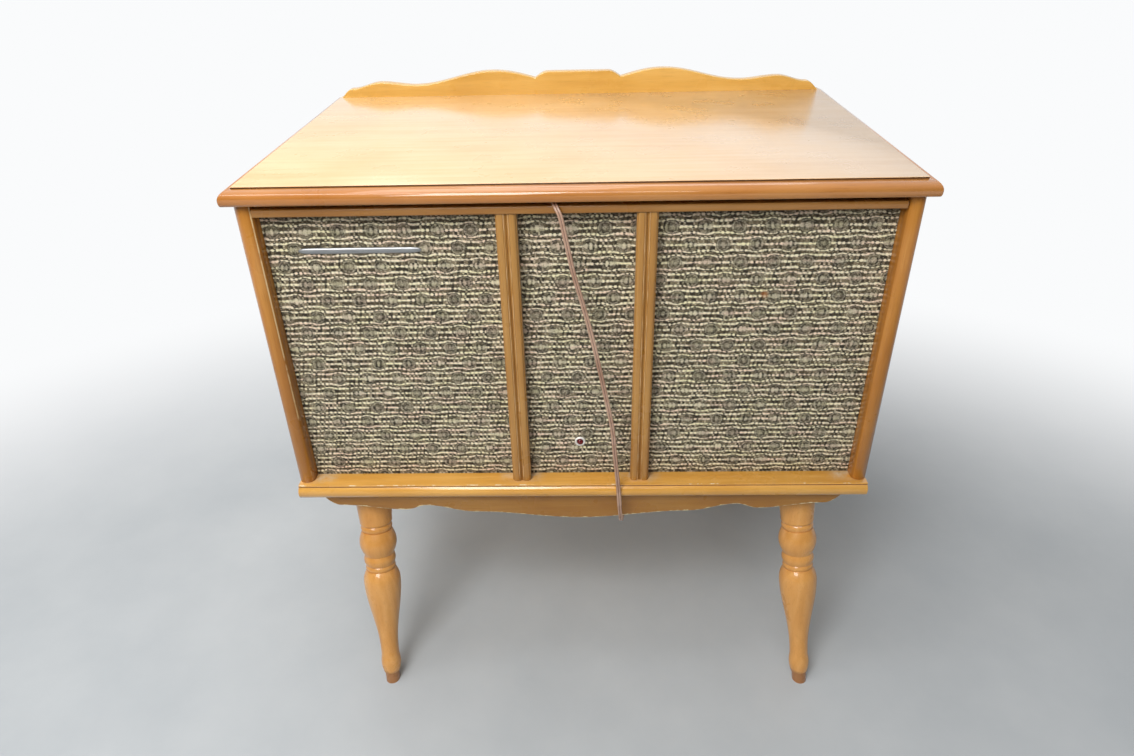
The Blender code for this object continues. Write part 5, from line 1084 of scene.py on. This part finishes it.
def build_screws():
    """Fixing screws of the hinges, leg plates, back panel, deck, control panel and stay."""
    leaf_places = []
    for side in ("left", "right"):
        low, _, middle = box_of("hinge_case_leaf_" + side)
        leaf_places += [(middle[0] + share, low[1] + LEAF_THICKNESS) for share in LEAF_SCREWS]
    case_places, lid_places = ([(*place, z) for place in leaf_places] for z in LEAF_SCREW_Z.values())
    plate_places = []
    for corner in ("front_left", "front_right", "rear_left", "rear_right"):
        plate_places += inset_corners("leg_plate_" + corner, PLATE_INSET, PLATE_DROP)
    low, high, _ = box_of("back_panel")
    edges = (low[2] + BACK_INSET, high[2] - BACK_INSET)
    back_places = [(x, high[1], z) for z in edges for x in np.linspace(-BACK_SCREW_X, BACK_SCREW_X, 6)]
    back_places += [(x, high[1], z) for x in (-BACK_SCREW_X, BACK_SCREW_X) for z in BACK_SCREW_Z]
    low, high, _ = box_of("lid_stay")
    stay_places = [(low[0] + PLATE_INSET, low[1] + share, high[2] - PLATE_DROP) for share in STAY_SCREWS]
    deck_places = inset_corners("changer_deck", DECK_INSET)
    panel_places = inset_corners("control_panel", PLATE_INSET)
    down = (0, 0, -1)
    back = (0, 1, 0)
    screw_heads("hinge_case_screws", case_places, back, 0.0026, 0.0008, BRASS, "cabinet")
    screw_heads("hinge_lid_screws", lid_places, back, 0.0026, 0.0008, BRASS, "lid")
    screw_heads("leg_plate_screws", plate_places, down, 0.0036, 0.0018, STEEL, "cabinet")
    screw_heads("back_panel_screws", back_places, back, 0.0036, 0.0018, STEEL, "cabinet")
    screw_heads("deck_screws", deck_places, UP, 0.0045, 0.0020, STEEL, "cabinet")
    screw_heads("control_panel_screws", panel_places, UP, 0.0028, 0.0012, BRASS, "cabinet")
    screw_heads("stay_screws", stay_places, down, 0.0028, 0.0012, BRASS, "lid")


# Nodes of the frame that stay, by finish
NODE_COATS = {
    LID_MAPLE: "lid_panel",
    NOSING_MAPLE: "lid_nosing_front",
    END_NOSING_MAPLE: "lid_nosing_left lid_nosing_right",
    STILE_MAPLE: "side_panel_left side_panel_right",
    RAIL_MAPLE: "top_rail back_rail",
    BASE_MAPLE: "base_board",
    BASE_NOSING_MAPLE: "base_nosing",
    "birch plywood": "baffle_board motor_board",
    "pressed hardboard": "back_panel",
    "rolled brass": (
        "hinge_case_leaf_left hinge_case_leaf_right hinge_lid_leaf_left hinge_lid_leaf_right "
        "hinge_pin_left hinge_pin_right lid_stay stay_stud control_panel"
    ),
    "zinc plated steel": (
        "leg_plate_front_left leg_plate_front_right leg_plate_rear_left leg_plate_rear_right "
        "amplifier_chassis"
    ),
    "chromium plate": "spindle arm_swivel record_overarm motor_pulley",
    "stoved enamel": "changer_deck",
    "moulded rubber": "idler_wheel strain_relief",
    "brown phenolic": "arm_rest speed_lever power_plug changer_motor",
    "varnished iron": "power_transformer",
    "felted cone paper": "speaker_left speaker_right",
    "satin nickel": "pilot_bezel",
    "ruby glass": "pilot_jewel",
}
EASED_EDGES = {"top_rail": 0.0012, "lid_panel": 0.0004, "changer_deck": 0.0010}
EASED_EDGE = 0.0003


def finish_nodes():
    """Gives each frame node that stays its material, and eases its edges with a narrow bevel."""
    for coat, names in NODE_COATS.items():
        for name in names.split():
            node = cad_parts[name]
            node.data.materials.clear()
            node.data.materials.append(bpy.data.materials[coat])
            node.data.shade_smooth()
            weld = node.modifiers.new("weld", "WELD")
            weld.merge_threshold = 1e-6
            flat = node.modifiers.new("flat faces", "DECIMATE")
            flat.decimate_type = "DISSOLVE"
            flat.angle_limit = math.radians(0.5)
            bevel = node.modifiers.new("eased edges", "BEVEL")
            bevel.width = EASED_EDGES.get(name, EASED_EDGE)
            bevel.segments = 2
            bevel.limit_method = "ANGLE"
            bevel.angle_limit = math.radians(35)
            bevel.use_clamp_overlap = False
            bevel.harden_normals = True


# Studio
FLOOR_HALF = 14.0
LAMPS = (  # name, place, aim, width, height, watts
    ("key", (-0.75, -1.7, 2.0), (-0.25, 0.0, 0.4), 1.0, 1.0, 37.0),
    ("strip", (-1.0, -1.3, 2.6), (-0.35, -0.2, 0.5), 4.5, 0.25, 31.0),
    ("top", (-0.6, 0.1, 2.4), (-0.1, 0.0, 0.6), 1.4, 1.4, 19.0),
    ("rear", (0.2, 1.8, 2.8), (0.0, 0.2, 0.4), 2.4, 0.8, 14.0),
)


def make_floor():
    """Pale painted concrete round the object, matt and barely mottled, that turns white further out."""
    coat = make_plain("pale painted concrete", "#B2B7BA", "#BDC1C3", 0.25, (0.6, 0.7))
    tree = coat.node_tree
    add = partial(add_node, tree)
    place = add("TexCoord", out="Object")
    shifted = add("VectorMath ADD", (place, (0.0, 0.9, 0.0)))
    away = add("VectorMath LENGTH", (shifted,), out="Value")
    far = add("MapRange", (away, 1.15, 2.15), SMOOTH)
    rays = add("LightPath").node.outputs
    seen = add("Math MAXIMUM", (rays["Is Camera Ray"], rays["Is Glossy Ray"]))
    white = add("Emission", {"Color": linear("#FAFBFC"), "Strength": 1.0})
    share = add("Math MULTIPLY", (far, seen))
    mixed = add("MixShader", (share, tree.nodes["Principled BSDF"].outputs[0], white))
    fill(tree.nodes["Material Output"], {"Surface": mixed})
    return coat


def build_studio():
    """Camera at the photograph's place, a pale floor, soft lamps and a white surround."""
    scene = bpy.context.scene
    scene.view_settings.view_transform = "Standard"
    lens = bpy.data.cameras.new("camera")
    lens.lens = 25.0
    lens.sensor_width = 36.0
    camera = bpy.data.objects.new("camera", lens)
    camera.location = (0.0090, -1.0281, 0.9803)
    camera.rotation_euler = [math.radians(a) for a in (58.887, 1.185, 0.949)]
    scene.collection.objects.link(camera)
    scene.camera = camera

    mesh = bpy.data.meshes.new("floor")
    corners = [(FLOOR_HALF * x, FLOOR_HALF * y, 0) for x, y in ((-1, -1), (1, -1), (1, 1), (-1, 1))]
    mesh.from_pydata(corners, [], [(0, 1, 2, 3)])
    floor = bpy.data.objects.new("floor", mesh)
    scene.collection.objects.link(floor)
    mesh.materials.append(make_floor())

    for name, place, aim, width, height, watts in LAMPS:
        light = bpy.data.lights.new(name, "AREA")
        light.shape = "RECTANGLE"
        light.size = width
        light.size_y = height
        light.energy = watts
        lamp = bpy.data.objects.new(name, light)
        lamp.location = place
        lamp.rotation_euler = (Vector(aim) - Vector(place)).to_track_quat("-Z", "Y").to_euler()
        scene.collection.objects.link(lamp)

    # White to the camera, and to mirrors where they look up and back, dim to everything else
    world = bpy.data.worlds.new("studio")
    scene.world = world
    world.use_nodes = True
    tree = world.node_tree
    add = partial(add_node, tree)
    rays = add("LightPath").node.outputs
    mirrored = add("Math MAXIMUM", (rays["Is Glossy Ray"], rays["Is Transmission Ray"]))
    way = add("TexCoord", out="Generated")
    towards = add("VectorMath DOT_PRODUCT", (way, (0.0, 0.6, 0.8)), out="Value")
    backdrop = add("MapRange", (towards, -0.2, 0.7))
    mirrored = add("Math MULTIPLY", (mirrored, backdrop))
    level = add("Math MAXIMUM", (mirrored, 0.15))
    level = add("Math MAXIMUM", (level, rays["Is Camera Ray"]))
    fill(tree.nodes["Background"], {"Color": linear("#F7F8FA"), "Strength": level})


make_materials()
build_studio()
build_cord()
build_legs()
build_grille_cloth()
build_dividers()
build_apron_and_gallery()
build_trim_bar()
build_pilot_washer()
build_platter()
build_tonearm()
build_knobs()
build_screws()
finish_nodes()
